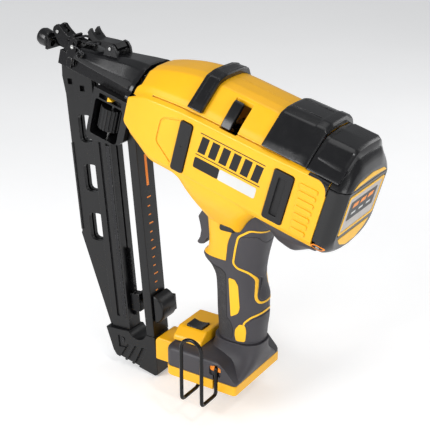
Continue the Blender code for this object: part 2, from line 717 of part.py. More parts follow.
def build_magazine():
    """Front plate and channel, spine, end cap, top mount, steel strip and pusher."""
    plate = [(PLATE_FRONT, 118.0), (PLATE_FRONT - 2.0, 134.0), (-38.0, 160.0), (-8.0, 160.0), (-9.0, CAP_TOP + 0.3),
             (-16.5, CAP_TOP + 0.3), (-39.5, -12.0), (PLATE_FRONT, -10.0)]
    windows = [prism(rounded((-28.2, lo), (-12.6, hi), 4.0), -30, 30)
               for lo, hi in ((75.5, 100.5), (30.0, 55.5), (-17.0, 9.5))]
    slot = BRAD_THICK / 2 + GAP
    part(
        "magazine_body", MAGAZINE, black_plastic(), prism(plate, -PLATE_HALF, PLATE_HALF),
        add=[box((CHANNEL_FRONT, -CHANNEL_HALF, CAP_TOP + 0.3), (CHANNEL_REAR, CHANNEL_HALF, CHANNEL_TOP))],
        cut=windows + [
            (BARREL, box((-200, -20, -9.8), (-90, 20, 40))),
            (BARREL, prism([(-131.8, 40), (-131.8, -55.2), (-127.6, -58.3), (-112.0, -55.3), (-80.0, -50.3), (-80, 40)],
                           -20, 20)),
            prism([(PLATE_FRONT + 3.5, -6.0), (-10.0, CAP_TOP + 12.0), (CHANNEL_REAR + 5, CAP_TOP + 12.0),
                   (CHANNEL_REAR + 5, 170.0), (PLATE_FRONT + 3.5, 170.0)], -slot, slot),
            # grooves down both sides of the channel
            box((-5.0, -12.0, CAP_TOP + 12.0), (-1.5, -CHANNEL_HALF + 1.4, 90.0)),
            box((2.5, -12.0, CAP_TOP + 12.0), (6.4, -CHANNEL_HALF + 1.4, 90.0)),
            box((-5.0, CHANNEL_HALF - 1.4, CAP_TOP + 12.0), (-1.5, 12.0, 90.0)),
        ],
    )
    part("magazine_strip", MAGAZINE, bright_steel(),
         box((2.8, -CHANNEL_HALF - 0.2, CAP_TOP + 12.4), (6.1, -CHANNEL_HALF + 1.1, 76.0)))
    part(
        "magazine_spine", MAGAZINE, black_plastic(),
        box((SPINE_FRONT, -SPINE_HALF, CAP_TOP + 0.3), (SPINE_REAR, SPINE_HALF, 92.0)),
        bevel=1.0,
        cut=[box((SPINE_FRONT - 5, -6.5, CAP_TOP + 6), (SPINE_REAR - 2.5, 6.5, 110.0)),
             (BARREL, box((-92.2 - 80, -40, -70), (-92.2, 40, 60))),
             (BARREL, barrel_skin(GAP, 3.0))],
    )
    cap = [(-17.5, CAP_TOP), (SPINE_REAR, CAP_TOP), (SPINE_REAR, CAP_BOTTOM + 2), (35.0, CAP_BOTTOM),
           (-2.0, -130.0), (-8.5, -128.0), (-11.5, -123.0)]
    part(
        "magazine_end_cap", MAGAZINE, black_plastic(), prism(cap, -SPINE_HALF, SPINE_HALF),
        bevel=0.8,
        cut=[rod((19.0, -96.0), 10.5, -20, 20, sides=28),
             box((-4.0, -SPINE_HALF - 2, -118.0), (4.0, -SPINE_HALF + 1.2, -106.0))],
    )
    build_pusher(slot)


def build_pusher(slot):
    """The pusher rides in the channel; its arm passes the right side of the spine to the knob behind."""
    low = PUSHER_LOW
    arm_y = SPINE_HALF + 0.8
    middle = low + 14.5
    part(
        "pusher", MAGAZINE, black_steel(),
        prism([(-7.6, low), (-24.6, low + 52.0), (-24.6, low + PUSHER_TALL), (CHANNEL_REAR + 4.0, low + PUSHER_TALL),
               (CHANNEL_REAR + 4.0, low)], -BRAD_THICK / 2, BRAD_THICK / 2),
        add=[box((CHANNEL_REAR + 1.5, -4.0, low + 6.0), (CHANNEL_REAR + 11.0, 4.0, low + 23.0)),
             box((CHANNEL_REAR + 6.0, 2.0, low + 7.0), (CHANNEL_REAR + 11.0, arm_y + 2.4, low + 22.0)),
             box((CHANNEL_REAR + 6.0, arm_y, low + 7.0), (SPINE_REAR + 9.0, arm_y + 2.4, low + 22.0))],
    )
    flat = SPINE_REAR + 0.5
    outline = [(flat, middle - 13.5)]
    for k in range(1, 12):
        a = math.pi * (k / 12 - 0.5)
        outline.append((flat + 11.0 * math.cos(a), middle + 13.5 * math.sin(a)))
    outline.append((flat, middle + 13.5))
    part("pusher_knob", MAGAZINE, black_plastic(), prism(outline, -9.5, arm_y - GAP), bevel=1.5)


# ---------------------------------------------------------------- foot


def build_foot():
    """Battery foot: grey body, yellow rim, terminal block, mode switch, magazine bracket and belt hook."""
    def plan(z, front, rear, half, corner=6.0):
        return [(x, y, z) for x, y in rounded((front, -half), (rear, half), corner, 3)]

    body = loft([
        plan(RIM_Z + GAP, FOOT_FRONT, FOOT_REAR, FOOT_HALF - 0.6),
        plan(20.0, FOOT_FRONT, FOOT_REAR, FOOT_HALF - 0.6),
        plan(FOOT_SHOULDER_Z, FOOT_FRONT, FOOT_REAR - 5.0, FOOT_HALF - 3.5),
        plan(PEDESTAL_Z, FOOT_FRONT + 0.5, FOOT_REAR - 10.0, 28.5),
    ])
    collar = loft([squircle(-2.0, 37.5, 19.5, 14.0), squircle(-1.5, 45.0, 18.5, 25.0, 2.6),
                   squircle(-1.0, 44.8, 17.8, COLLAR_Z, 2.6)])
    part(
        "foot", WORLD, grey_plastic(), body, add=[collar],
        cut=[
            box((DOCK_FRONT, -DOCK_HALF, -5), (DOCK_REAR, DOCK_HALF, DOCK_DEPTH)),
            loft([squircle(4.0, 26.0, 12.5, DOCK_DEPTH - 3), squircle(4.0, 40.0, 12.5, COLLAR_Z + 5)]),
            box((HOOK_X[1] - 2.6, -60, 5.0), (HOOK_X[1] + 2.6, -FOOT_HALF + 3.4, 24.0)),
            rod((HOOK_X[1], 21.0), HOOK_WIRE + RUNNING, -60, -FOOT_HALF + 8.0, sides=12),
            rod((HOOK_X[0], -HOOK_SOCKET), HOOK_WIRE + RUNNING, -10, 17.0, "z", 12),
        ],
    )
    part(
        "foot_rim", WORLD, yellow_plastic(),
        loft([plan(0.0, FOOT_FRONT, FOOT_REAR, FOOT_HALF), plan(RIM_Z, FOOT_FRONT, FOOT_REAR, FOOT_HALF)]),
        cut=[
            box((DOCK_FRONT, -DOCK_HALF + DOCK_RAIL, -5), (DOCK_REAR, DOCK_HALF - DOCK_RAIL, 20)),
            box((DOCK_FRONT, -DOCK_HALF, -5), (DOCK_LIP_FRONT, DOCK_HALF, 20)),
            box((DOCK_FRONT, -DOCK_HALF, 4.0), (DOCK_REAR, DOCK_HALF, 20)),
            box((HOOK_X[1] - 2.6, -60, -5.0), (HOOK_X[1] + 2.6, -FOOT_HALF + 3.4, 24.0)),
            rod((HOOK_X[0], -HOOK_SOCKET), HOOK_WIRE + RUNNING, -10, 17.0, "z", 12),
        ],
    )
    blades = [box((-17.0, y - 0.5, 3.0), (-7.6, y + 0.5, 8.6)) for y in (-15.0, -7.5, 0.0, 7.5, 15.0)]
    part("terminal_block", WORLD, black_plastic(), box((-8.0, -20.0, 0.0), (24.0, 20.0, DOCK_DEPTH - GAP)),
         add=blades)
    part(
        "mode_housing", WORLD, yellow_plastic(),
        prism([(-26.0, PEDESTAL_Z + GAP), (26.0, PEDESTAL_Z + GAP), (25.5, 32.5), (16.5, MODE_TOP_Z),
               (-16.5, MODE_TOP_Z), (-25.5, 32.5)], FOOT_FRONT + 1.0, MODE_REAR, "x"),
        bevel=1.2,
        cut=[box((-26.0, -15.6, 34.2), (-9.0, -2.4, 60.0)), squircle_block()],
    )
    part("mode_rocker", WORLD, black_plastic(),
         prism([(-22.0, 35.4), (-13.0, 35.4), (-9.6, 37.4), (-9.6, 41.4), (-13.5, 40.2), (-17.5, 39.9), (-21.5, 40.2),
                (-25.4, 41.4), (-25.4, 37.4)], -15.2, -2.8), bevel=0.4, pivot=(-17.5, -9.0, 37.4))
    part(
        "magazine_bracket", WORLD, yellow_plastic(),
        prism([(-61.5, -6.5), (-61.5, 13.0), (-58.5, 16.5), (FOOT_FRONT - GAP, 16.5), (FOOT_FRONT - GAP, 0.5),
               (-47.0, -6.5)], -13.5, 13.5),
        bevel=1.5,
        cut=[(MAGAZINE, box((SPINE_FRONT - 60, -30, -150), (SPINE_REAR + GAP, 30, 120)))],
    )
    build_hook()


def squircle_block():
    """Room for the foot's collar behind the mode switch."""
    return loft([squircle(-3.2, 47.0, 21.0, 20.0), squircle(-3.2, 47.0, 21.0, 60.0)])


def build_hook():
    """A wire belt hook: both legs leave the foot's left side, run under and rise in one loop."""
    front, rear = HOOK_X
    side = -FOOT_HALF + HOOK_WIRE - 0.4
    top = 45.0
    arc = []
    middle, reach = (front + rear) / 2, (rear - front) / 2
    for k in range(1, 8):
        a = math.pi * k / 8
        arc.append((middle - reach * math.cos(a), HOOK_Y, top + reach * math.sin(a)))
    start = bend([(front, -HOOK_SOCKET, 15.0), (front, -HOOK_SOCKET, HOOK_LOW), (front, HOOK_Y, HOOK_LOW),
                  (front, HOOK_Y, top)], 4.0, 3)
    end = bend([(rear, HOOK_Y, top), (rear, HOOK_Y, HOOK_LOW), (rear, side, HOOK_LOW), (rear, side, 21.0),
                (rear, -FOOT_HALF + 7.0, 21.0)], 3.5, 3)
    part("belt_hook", WORLD, black_steel(), wire(start + arc + end, HOOK_WIRE, 8), smooth=True)


# ---------------------------------------------------------------- trigger and drive


def build_trigger():
    blade = [(-18.2, 141.5), (-16.4, 135.0), (-15.4, 129.5), (-16.6, 123.0), (-19.6, 117.8), (-17.0, 116.2),
             (-12.4, 117.4), (-9.0, 123.0), (-3.0, 126.0), (2.0, 134.0), (2.0, 144.0), (-3.0, 151.2), (-10.0, 151.0),
             (-15.0, 146.5)]
    part("trigger", WORLD, grey_plastic(), prism(blade, -TRIGGER_HALF, TRIGGER_HALF), bevel=1.0,
         cut=[rod((TRIGGER_PIVOT[0], TRIGGER_PIVOT[2]), 1.5 + RUNNING, -20, 20, sides=12)], pivot=TRIGGER_PIVOT)
    part("trigger_pin", WORLD, bright_steel(), rod((TRIGGER_PIVOT[0], TRIGGER_PIVOT[2]), 1.5, -9.8, 9.8, sides=12),
         smooth=True)
    part("trigger_switch", WORLD, black_plastic(), box((12.0, -8.0, 104.0), (34.0, 8.0, 133.0)),
         add=[box((7.4, -3.0, 126.0), (13.0, 3.0, 131.0))])
    part("lock_button", WORLD, black_plastic(),
         prism(rounded((11.4, 140.6), (24.6, 145.8), 2.0), -21.0, 21.0), bevel=0.6)


def build_drive():
    """Driver, bumper, return rails, flywheel motor, roller arm and solenoid."""
    rails = (-15.0, 15.0)
    part(
        "driver", BARREL, bright_steel(), box((-20.0, -9.0, -6.4), (20.0, 9.0, 2.0)),
        add=[box((-108.0, -1.5, -0.9), (-19.0, 1.5, 0.9)), box((-18.0, -18.5, -3.0), (-8.0, 18.5, 2.0))],
        cut=[rod((y, 0.0), 2.0 + RUNNING, -60, 60, "x", 12) for y in rails],
    )
    part("bumper", BARREL, black_rubber(), box((-DRIVE_STROKE - 27.6, -10.5, -8.0), (-DRIVE_STROKE - 20.6, 10.5, 8.0)),
         cut=[box((-120, -2.1, -1.5), (0, 2.1, 1.5))])
    for y, hand in zip(rails, ("left", "right")):
        part(f"return_rail_{hand}", BARREL, bright_steel(), rod((y, 0.0), 2.0, -96.0, 30.0, "x", 12), smooth=True)
        part(f"return_spring_{hand}", BARREL, bright_steel(),
             coil((y, 0.0), 3.3, 0.55, -89.5, 8.7, 8, "x", 10, 4), smooth=True)
    at = (FLYWHEEL_AT[0], FLYWHEEL_AT[2])
    part("flywheel", BARREL, bright_steel(), rod(at, FLYWHEEL_RADIUS, -13.0, 13.0, sides=40),
         cut=[rod(at, 11.6, -13.5, 9.0, sides=32), rod(at, 2.5, -30, 30, sides=16)],
         pivot=FLYWHEEL_AT, smooth=True)
    part("motor_shaft", BARREL, bright_steel(), rod(at, 2.4, -24.0, 24.0, sides=16), pivot=FLYWHEEL_AT, smooth=True)
    teeth = []
    for i in range(6):
        a = math.tau * i / 6
        c, s = math.cos(a), math.sin(a)
        points = [(4.0, -1.6), (8.4, -1.6), (8.4, -4.2), (10.8, -3.0), (10.8, 3.0), (8.4, 4.2), (8.4, 1.6), (4.0, 1.6)]
        teeth.append(prism([(at[0] + x * c - z * s, at[1] + x * s + z * c) for x, z in points], -12.0, 8.0))
    part("motor_stator", BARREL, copper(), rod(at, 5.4, -15.5, 8.0, sides=24),
         add=teeth, cut=[rod(at, 2.4 + RUNNING + 0.4, -30, 30, sides=16)])
    for y, hand in ((-1, "left"), (1, "right")):
        lo, hi = sorted((y * 17.0, y * 22.0))
        part(f"motor_bearing_{hand}", BARREL, bright_steel(), rod(at, 6.5, lo, hi, sides=24),
             cut=[rod(at, 2.4 + RUNNING, -30, 30, sides=16)], smooth=True)
    arm_pin = (40.0, 0.0, 20.0)
    roller = (0.0, 8.2)
    arm = [(-5.0, 6.0), (-2.0, 13.6), (8.0, 17.0), (36.0, 25.0), (44.0, 24.0), (45.0, 17.0), (38.0, 14.6), (5.0, 5.6)]
    part("roller_arm", BARREL, black_steel(), prism(arm, -9.0, 9.0),
         cut=[box((-10.0, -5.6, 0.0), (8.0, 5.6, 30.0)), rod((arm_pin[0], arm_pin[2]), 2.0 + RUNNING, -20, 20, sides=12),
              rod(roller, 1.5 + RUNNING, -20, 20, sides=12)],
         pivot=arm_pin)
    part("arm_pin", BARREL, bright_steel(), rod((arm_pin[0], arm_pin[2]), 2.0, -14.0, 14.0, sides=12), smooth=True)
    part("pinch_roller", BARREL, bright_steel(), rod(roller, 5.6, -5.2, 5.2, sides=24),
         add=[rod(roller, 1.5, -9.0, 9.0, sides=12)], pivot=(roller[0], 0.0, roller[1]), smooth=True)
    part("solenoid", BARREL, copper(), box((56.0, -13.0, 8.0), (86.0, 13.0, 34.0)), bevel=1.0,
         cut=[rod((0.0, 21.0), 5.0 + RUNNING, 50, 80, "x", 20)])
    part("solenoid_plunger", BARREL, bright_steel(), rod((0.0, 21.0), 5.0, 48.6, 76.0, "x", 20), smooth=True)
    part("control_board", BARREL, board_green(), box((91.0, -27.0, -26.0), (93.0, 27.0, 18.0)))


def main():
    clear_scene()
    build_housing(-1, "housing_left")
    build_housing(1, "housing_right")
    build_grip(-1, "grip_left")
    build_grip(1, "grip_right")
    build_rear_cap()
    build_guards()
    build_pads()
    build_stall_lever()
    build_nose()
    build_contact_trip()
    build_depth_adjust()
    build_magazine()
    build_foot()
    build_trigger()
    build_drive()


main()
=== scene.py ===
"""The finished look of a cordless brad nailer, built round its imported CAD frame.

Shell pieces are lofted again with fine sections and rounded corners, so they stand for the coarse CAD
shells.  The other visible CAD nodes are copied, rounded along their edges and given fine materials.
Sizes are in millimetres and become metres in add_mesh.  World frame: origin under the foot, +X to the
back of the tool, +Y to its right, +Z up.  The barrel is drawn in BARREL (u back, y right, w up) and the
magazine in MAGAZINE.
"""

import json
import math

import bmesh
import bpy
from mathutils import Matrix, Vector

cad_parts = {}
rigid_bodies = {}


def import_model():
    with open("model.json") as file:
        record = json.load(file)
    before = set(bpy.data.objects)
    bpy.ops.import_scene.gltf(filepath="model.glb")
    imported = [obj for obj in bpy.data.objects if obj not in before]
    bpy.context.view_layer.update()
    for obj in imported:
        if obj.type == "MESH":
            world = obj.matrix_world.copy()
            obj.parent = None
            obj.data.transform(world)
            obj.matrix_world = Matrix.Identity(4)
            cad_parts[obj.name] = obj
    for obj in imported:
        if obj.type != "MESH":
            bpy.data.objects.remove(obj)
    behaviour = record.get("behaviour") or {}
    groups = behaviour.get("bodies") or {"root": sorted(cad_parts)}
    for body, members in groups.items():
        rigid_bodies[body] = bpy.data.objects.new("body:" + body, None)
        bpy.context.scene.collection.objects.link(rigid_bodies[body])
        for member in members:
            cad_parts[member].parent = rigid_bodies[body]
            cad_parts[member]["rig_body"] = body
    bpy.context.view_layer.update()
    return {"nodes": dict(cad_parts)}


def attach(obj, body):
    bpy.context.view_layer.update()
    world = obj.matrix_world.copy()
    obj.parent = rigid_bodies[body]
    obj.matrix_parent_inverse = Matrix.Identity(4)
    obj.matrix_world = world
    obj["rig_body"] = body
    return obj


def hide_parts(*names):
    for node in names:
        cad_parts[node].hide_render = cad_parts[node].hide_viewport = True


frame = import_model()

MM = 0.001
GAP = 0.3
WALL = 2.6
SMOOTH_ANGLE = math.radians(32)
TOOL = "tool"            # the CAD body that the shells and most pieces ride on

# Layout, the same as the CAD model's
BARREL_PITCH = math.radians(15.5)
BARREL_AT = (14.0, 0.0, 214.8)
MAGAZINE_LEAN = math.radians(4.5)
MAGAZINE_AT = (-110.0, 0.0, 110.0)
HALF_WIDTH = 41.5
NOSE_END = -84.0
BARREL_END = 101.5
REAR_FACE = BARREL_END + 15.0
PANEL_BOTTOM = -29.5
BARREL_BOTTOM = -40.0
COLLAR_Z = 38.0
HANDLE_TOP = 112.0
NECK_SPLIT = ((14.5, 112.0), (17.0, 130.0), (24.0, 144.0), (36.0, 155.0), (52.0, 164.0))
FOOT_FRONT, FOOT_REAR, FOOT_HALF = -34.0, 38.0, 37.4
RIM_Z = 9.0
DOCK_FRONT, DOCK_REAR, DOCK_HALF, DOCK_DEPTH = -31.0, 28.0, 27.0, 13.0
SPINE_REAR, SPINE_HALF = 38.5, 11.2
HOOK_X, HOOK_Y, HOOK_LOW, HOOK_TOP = (-2.0, 18.0), -58.0, -4.6, 21.0
HOOK_WIRE, HOOK_SOCKET = 1.65, 32.4
LEFT, RIGHT = -1, 1
SIDES = ((LEFT, "left"), (RIGHT, "right"))

# The view and the floor, in metres and millimetres
CAMERA_TARGET = Vector((-0.006, 0.0, 0.1425))
CAMERA_DISTANCE = 0.840
CAMERA_AZIMUTH, CAMERA_HEIGHT = math.radians(32.7), math.radians(22.6)
CAMERA_LENS = 84.39
FLOOR_Z, FLOOR_REACH, FLOOR_GLOW = -27.6, 4000, 0.32


def turn_y(angle, at):
    return Matrix.Translation(Vector(at) * MM) @ Matrix.Rotation(angle, 4, "Y")


def span(side, near, far):
    """Two distances from the middle plane on one side of the tool, lower value first."""
    return sorted((side * near, side * far))


WORLD = Matrix.Identity(4)
BARREL = turn_y(BARREL_PITCH, BARREL_AT)
MAGAZINE = turn_y(-MAGAZINE_LEAN, MAGAZINE_AT)


# ---------------------------------------------------------------- materials


class Nodes:
    """Short calls for building a material's node tree."""

    def __init__(self, name):
        self.material = bpy.data.materials.new(name)
        self.material.use_nodes = True
        self.tree = self.material.node_tree
        self.shader = self.tree.nodes["Principled BSDF"]
        self.place = self.add("ShaderNodeTexCoord").outputs["Object"]

    def add(self, kind, **settings):
        node = self.tree.nodes.new(kind)
        for key, value in settings.items():
            setattr(node, key, value)
        return node

    def join(self, output, socket):
        self.tree.links.new(output, socket)

    def fill(self, node, values):
        for key, value in values.items():
            if isinstance(value, bpy.types.NodeSocket):
                self.join(value, node.inputs[key])
            else:
                node.inputs[key].default_value = value
        return node

    def finish(self, values):
        self.fill(self.shader, values)
        return self.material

    def noise(self, scale, detail=3.0, rough=0.5, place=None):
        node = self.add("ShaderNodeTexNoise")
        where = place or self.place
        self.fill(node, {"Vector": where, "Scale": scale, "Detail": detail, "Roughness": rough})
        return node.outputs["Fac"]

    def cells(self, scale):
        node = self.add("ShaderNodeTexVoronoi")
        self.fill(node, {"Vector": self.place, "Scale": scale})
        return node.outputs["Distance"]

    def stretch(self, x, y, z):
        """The place with each axis scaled, for grain that runs one way."""
        node = self.add("ShaderNodeMapping")
        self.fill(node, {"Vector": self.place, "Scale": (x, y, z)})
        return node.outputs["Vector"]

    def ramp(self, value, low, high, out_low=0.0, out_high=1.0):
        node = self.add("ShaderNodeMapRange")
        limits = {"From Min": low, "From Max": high, "To Min": out_low, "To Max": out_high}
        self.fill(node, {"Value": value, **limits})
        return node.outputs["Result"]

    def math(self, operation, a, b):
        node = self.add("ShaderNodeMath", operation=operation)
        self.fill(node, {0: a, 1: b})
        return node.outputs["Value"]

    def mix(self, share, a, b):
        node = self.add("ShaderNodeMix", data_type="RGBA")
        self.fill(node, {"Factor": share})
        for key, value in ((6, a), (7, b)):
            if isinstance(value, tuple):
                node.inputs[key].default_value = (*value, 1.0)
            else:
                self.join(value, node.inputs[key])
        return node.outputs[2]

    def rounded_normal(self, radius):
        node = self.add("ShaderNodeBevel", samples=6)
        node.inputs["Radius"].default_value = radius * MM
        return node.outputs["Normal"]

    def edges(self, radius):
        """1 close to an outer or inner edge, 0 on open surfaces."""
        dot = self.add("ShaderNodeVectorMath", operation="DOT_PRODUCT")
        self.join(self.rounded_normal(radius), dot.inputs[0])
        self.join(self.add("ShaderNodeNewGeometry").outputs["Normal"], dot.inputs[1])
        return self.ramp(dot.outputs["Value"], 0.99, 0.80)

    def bump(self, height, strength, distance, normal=None):
        node = self.add("ShaderNodeBump")
        self.fill(node, {"Height": height, "Strength": strength, "Distance": distance * MM})
        if normal is not None:
            self.join(normal, node.inputs["Normal"])
        return node.outputs["Normal"]


def plastic(name, colour, lighter_colour, rough, grain=0.35, grain_size=0.5, depth=0.03, rounding=0.5, coat=0.0,
            shine=0.5):
    """Moulded plastic: fine spark-eroded grain, faint flow marks, smudges, and edges lightened in patches,
    partly rubbed wear and partly a painted edge highlight.
    """
    n = Nodes(name)
    flow = n.ramp(n.noise(38.0, 4.0), 0.3, 0.7)
    base = n.mix(flow, tuple(c * 0.93 for c in colour), colour)
    patches = n.ramp(n.noise(420.0, 5.0, 0.7), 0.46, 0.64)
    # edges lighter in patches: partly rubbed wear, partly a painted highlight along outer and inner edges
    scuffs_and_edge_sheen = n.math("MULTIPLY", n.edges(rounding * 1.3), patches)
    height = n.math("ADD", n.cells(1000.0 / grain_size), n.math("MULTIPLY", n.noise(1400.0, 2.0), 0.5))
    return n.finish({
        "Base Color": n.mix(scuffs_and_edge_sheen, base, lighter_colour),
        "Roughness": n.ramp(n.noise(85.0, 5.0, 0.62), 0.3, 0.72, rough - 0.055, rough + 0.075),
        "Normal": n.bump(height, grain, depth, n.rounded_normal(rounding)),
        "IOR": 1.49,
        "Coat Weight": coat,
        "Specular IOR Level": shine,
    })


def dotted_rubber(name, colour, lighter_colour, pitch=1.25):
    """Overmoulded soft grip with a close field of raised dots."""
    n = Nodes(name)
    dots = n.ramp(n.cells(1000.0 / pitch), 0.2, 0.55, 1.0, 0.0)
    # the tops of the raised dots made lighter, in patches
    lighter_dot_tops = n.math("MULTIPLY", dots, n.ramp(n.noise(60.0, 4.0), 0.35, 0.75, 0.1, 0.75))
    return n.finish({
        "Base Color": n.mix(lighter_dot_tops, colour, lighter_colour),
        "Roughness": n.ramp(n.noise(140.0, 4.0), 0.3, 0.7, 0.62, 0.8),
        "Normal": n.bump(dots, 0.7, 0.22, n.rounded_normal(0.4)),
    })


def metal(name, colour, lighter_colour, rough, grain=(900.0, 60.0, 60.0), metallic=1.0, rub_and_sheen_strength=1.0, rounding=0.3):
    """Steel: drawn grain, small scratches and bright edges in patches, partly rubbed wear and partly a
    painted edge highlight.
    """
    n = Nodes(name)
    streak = n.noise(1.0, 3.0, 0.6, n.stretch(*grain))
    base = n.mix(n.ramp(streak, 0.3, 0.7), tuple(c * 0.86 for c in colour), colour)
    patches = n.ramp(n.noise(500.0, 5.0, 0.7), 0.42, 0.62, 0.0, rub_and_sheen_strength)
    # bright edges in patches: partly rubbed steel, partly a painted highlight along the edges
    rub_and_edge_sheen = n.math("MULTIPLY", n.edges(rounding * 1.6), patches)
    return n.finish({
        "Base Color": n.mix(rub_and_edge_sheen, base, lighter_colour),
        "Metallic": metallic,
        "Roughness": n.ramp(n.noise(210.0, 5.0, 0.65), 0.3, 0.7, rough - 0.07, rough + 0.08),
        "Normal": n.bump(streak, 0.25, 0.02, n.rounded_normal(rounding)),
    })


def circuit(name):
    """Green board with paler copper tracks showing through the lacquer."""
    n = Nodes(name)
    tracks = n.ramp(n.cells(330.0), 0.10, 0.16, 1.0, 0.0)
    return n.finish({
        "Base Color": n.mix(tracks, (0.010, 0.085, 0.03), (0.05, 0.26, 0.09)),
        "Roughness": n.ramp(n.noise(500.0), 0.3, 0.7, 0.28, 0.42),
        "Normal": n.bump(tracks, 0.3, 0.05),
    })


def winding(name):
    """Lacquered copper wire laid in close turns."""
    n = Nodes(name)
    wave = n.add("ShaderNodeTexWave", bands_direction="Y")
    n.fill(wave, {"Vector": n.place, "Scale": 160.0, "Distortion": 1.2, "Detail": 2.0})
    turns = wave.outputs["Fac"]
    return n.finish({
        "Base Color": n.mix(turns, (0.42, 0.15, 0.05), (0.80, 0.36, 0.15)),
        "Metallic": 0.9,
        "Roughness": n.ramp(n.noise(300.0), 0.3, 0.7, 0.3, 0.45),
        "Normal": n.bump(turns, 0.6, 0.2),
    })


def pale(name):
    """The floor: a faintly uneven matt white that glows a little, so that shadows stay soft."""
    n = Nodes(name)
    return n.finish({
        "Base Color": n.mix(n.ramp(n.noise(3.0), 0.3, 0.7), (0.86, 0.86, 0.86), (0.9, 0.9, 0.9)),
        "Roughness": n.ramp(n.noise(40.0), 0.3, 0.7, 0.55, 0.65),
        "Emission Color": (1.0, 1.0, 1.0, 1.0),
        "Emission Strength": FLOOR_GLOW,
    })


YELLOW = plastic("yellow_shell", (0.90, 0.455, 0.006), (0.95, 0.62, 0.12), 0.37, 0.18, 0.55, 0.02, 0.7, 0.04,
                 shine=0.42)
YELLOW_TRIM = plastic("yellow_trim", (0.92, 0.50, 0.006), (0.96, 0.68, 0.2), 0.40, 0.2, 0.5, 0.02, 0.25)
ORANGE = plastic("orange_print", (0.93, 0.27, 0.008), (0.95, 0.42, 0.1), 0.42, 0.2, 0.5, 0.01, 0.1)
GREY = plastic("grey_shell", (0.045, 0.042, 0.048), (0.13, 0.125, 0.135), 0.45, 0.42, 0.62, 0.035, 0.6,
               shine=0.4)
BLACK = plastic("black_shell", (0.0052, 0.0052, 0.006), (0.04, 0.04, 0.043), 0.23, 0.24, 0.55, 0.018, 0.6,
                shine=0.46)
GLASS_FILLED = plastic("glass_filled", (0.005, 0.005, 0.0056), (0.04, 0.04, 0.043), 0.30, 0.4, 0.7, 0.03,
                       0.45, shine=0.34)
LABEL_DARK = plastic("label_dark", (0.008, 0.008, 0.009), (0.03, 0.03, 0.03), 0.34, 0.08, 0.5, 0.01, 0.1,
                     shine=0.3)
LABEL_LIGHT = plastic("label_light", (0.62, 0.62, 0.61), (0.7, 0.7, 0.7), 0.38, 0.08, 0.5, 0.01, 0.1)
RUBBER = plastic("soft_rubber", (0.0075, 0.0072, 0.008), (0.035, 0.034, 0.036), 0.46, 0.6, 0.8, 0.045, 0.6,
                 shine=0.35)
DOTTED = dotted_rubber("dotted_grip", (0.024, 0.023, 0.025), (0.062, 0.060, 0.064))
BLACK_STEEL = metal("black_steel", (0.010, 0.010, 0.011), (0.34, 0.33, 0.32), 0.27, metallic=0.7, rub_and_sheen_strength=0.9)
STEEL_DARK = metal("dark_spring_steel", (0.03, 0.03, 0.032), (0.4, 0.4, 0.4), 0.26, metallic=0.85, rub_and_sheen_strength=0.6)
HOOK_STEEL = metal("hook_steel", (0.006, 0.006, 0.0065), (0.12, 0.12, 0.12), 0.17, metallic=0.5, rub_and_sheen_strength=0.25)
STEEL = metal("ground_steel", (0.50, 0.50, 0.49), (0.75, 0.75, 0.73), 0.28)
SILVER = metal("silver_plate", (0.52, 0.48, 0.45), (0.7, 0.68, 0.65), 0.36, (60.0, 60.0, 1400.0), 0.7, 0.3)
BOARD = circuit("circuit_board")
COPPER = winding("copper_winding")


# ---------------------------------------------------------------- mesh makers


def box(lo, hi):
    bm = bmesh.new()
    bmesh.ops.create_cube(bm, size=1.0)
    for vert in bm.verts:
        for i in range(3):
            vert.co[i] = lo[i] if vert.co[i] < 0 else hi[i]
    return bm


def loft(rings):
    """A closed skin through rings that all hold the same number of points."""
    bm = bmesh.new()
    layers = [[bm.verts.new(p) for p in ring] for ring in rings]
    count = len(layers[0])
    for low, high in zip(layers, layers[1:]):
        for i in range(count):
            j = (i + 1) % count
            bm.faces.new((low[i], low[j], high[j], high[i]))
    bm.faces.new(layers[0][::-1])
    bm.faces.new(layers[-1])
    return bm


def prism(points, lo, hi, along="y"):
    """A flat outline pushed along one axis; points hold the other two coordinates in xyz order."""
    place = {
        "x": lambda p, d: (d, p[0], p[1]),
        "y": lambda p, d: (p[0], d, p[1]),
        "z": lambda p, d: (p[0], p[1], d),
    }[along]
    return loft([[place(p, lo) for p in points], [place(p, hi) for p in points]])


def circle(centre, radius, sides, start=0.0):
    step = math.tau / sides
    return [
        (centre[0] + radius * math.cos(start + i * step), centre[1] + radius * math.sin(start + i * step))
        for i in range(sides)
    ]


def slanted(left, low, right, high, lean):
    """A four-sided outline whose top is pushed along by the lean."""
    return [(left, low), (right, low), (right + lean, high), (left + lean, high)]


def rod(centre, radius, lo, hi, along="y", sides=40):
    return prism(circle(centre, radius, sides), lo, hi, along)


def rounded(lo, hi, *corners, steps=6):
    """A rectangle outline with round corners: one radius, or four from the upper right corner round."""
    centres = ((hi[0], hi[1]), (lo[0], hi[1]), (lo[0], lo[1]), (hi[0], lo[1]))
    points = []
    for quarter, (x, y) in enumerate(centres):
        corner = corners[quarter % len(corners)]
        cx = x - corner if x == hi[0] else x + corner
        cy = y - corner if y == hi[1] else y + corner
        for k in range(steps + 1):
            a = math.pi / 2 * (quarter + k / steps)
            points.append((cx + corner * math.cos(a), cy + corner * math.sin(a)))
    return points


def curve_corner(before, here, after, setback, steps):
    """Points of a short curve that rounds one corner of a path."""
    start = here + (before - here).normalized() * setback
    end = here + (after - here).normalized() * setback
    points = []
    for k in range(steps + 1):
        t = k / steps
        points.append(start * (1 - t) ** 2 + here * (2 * t * (1 - t)) + end * t**2)
    return points


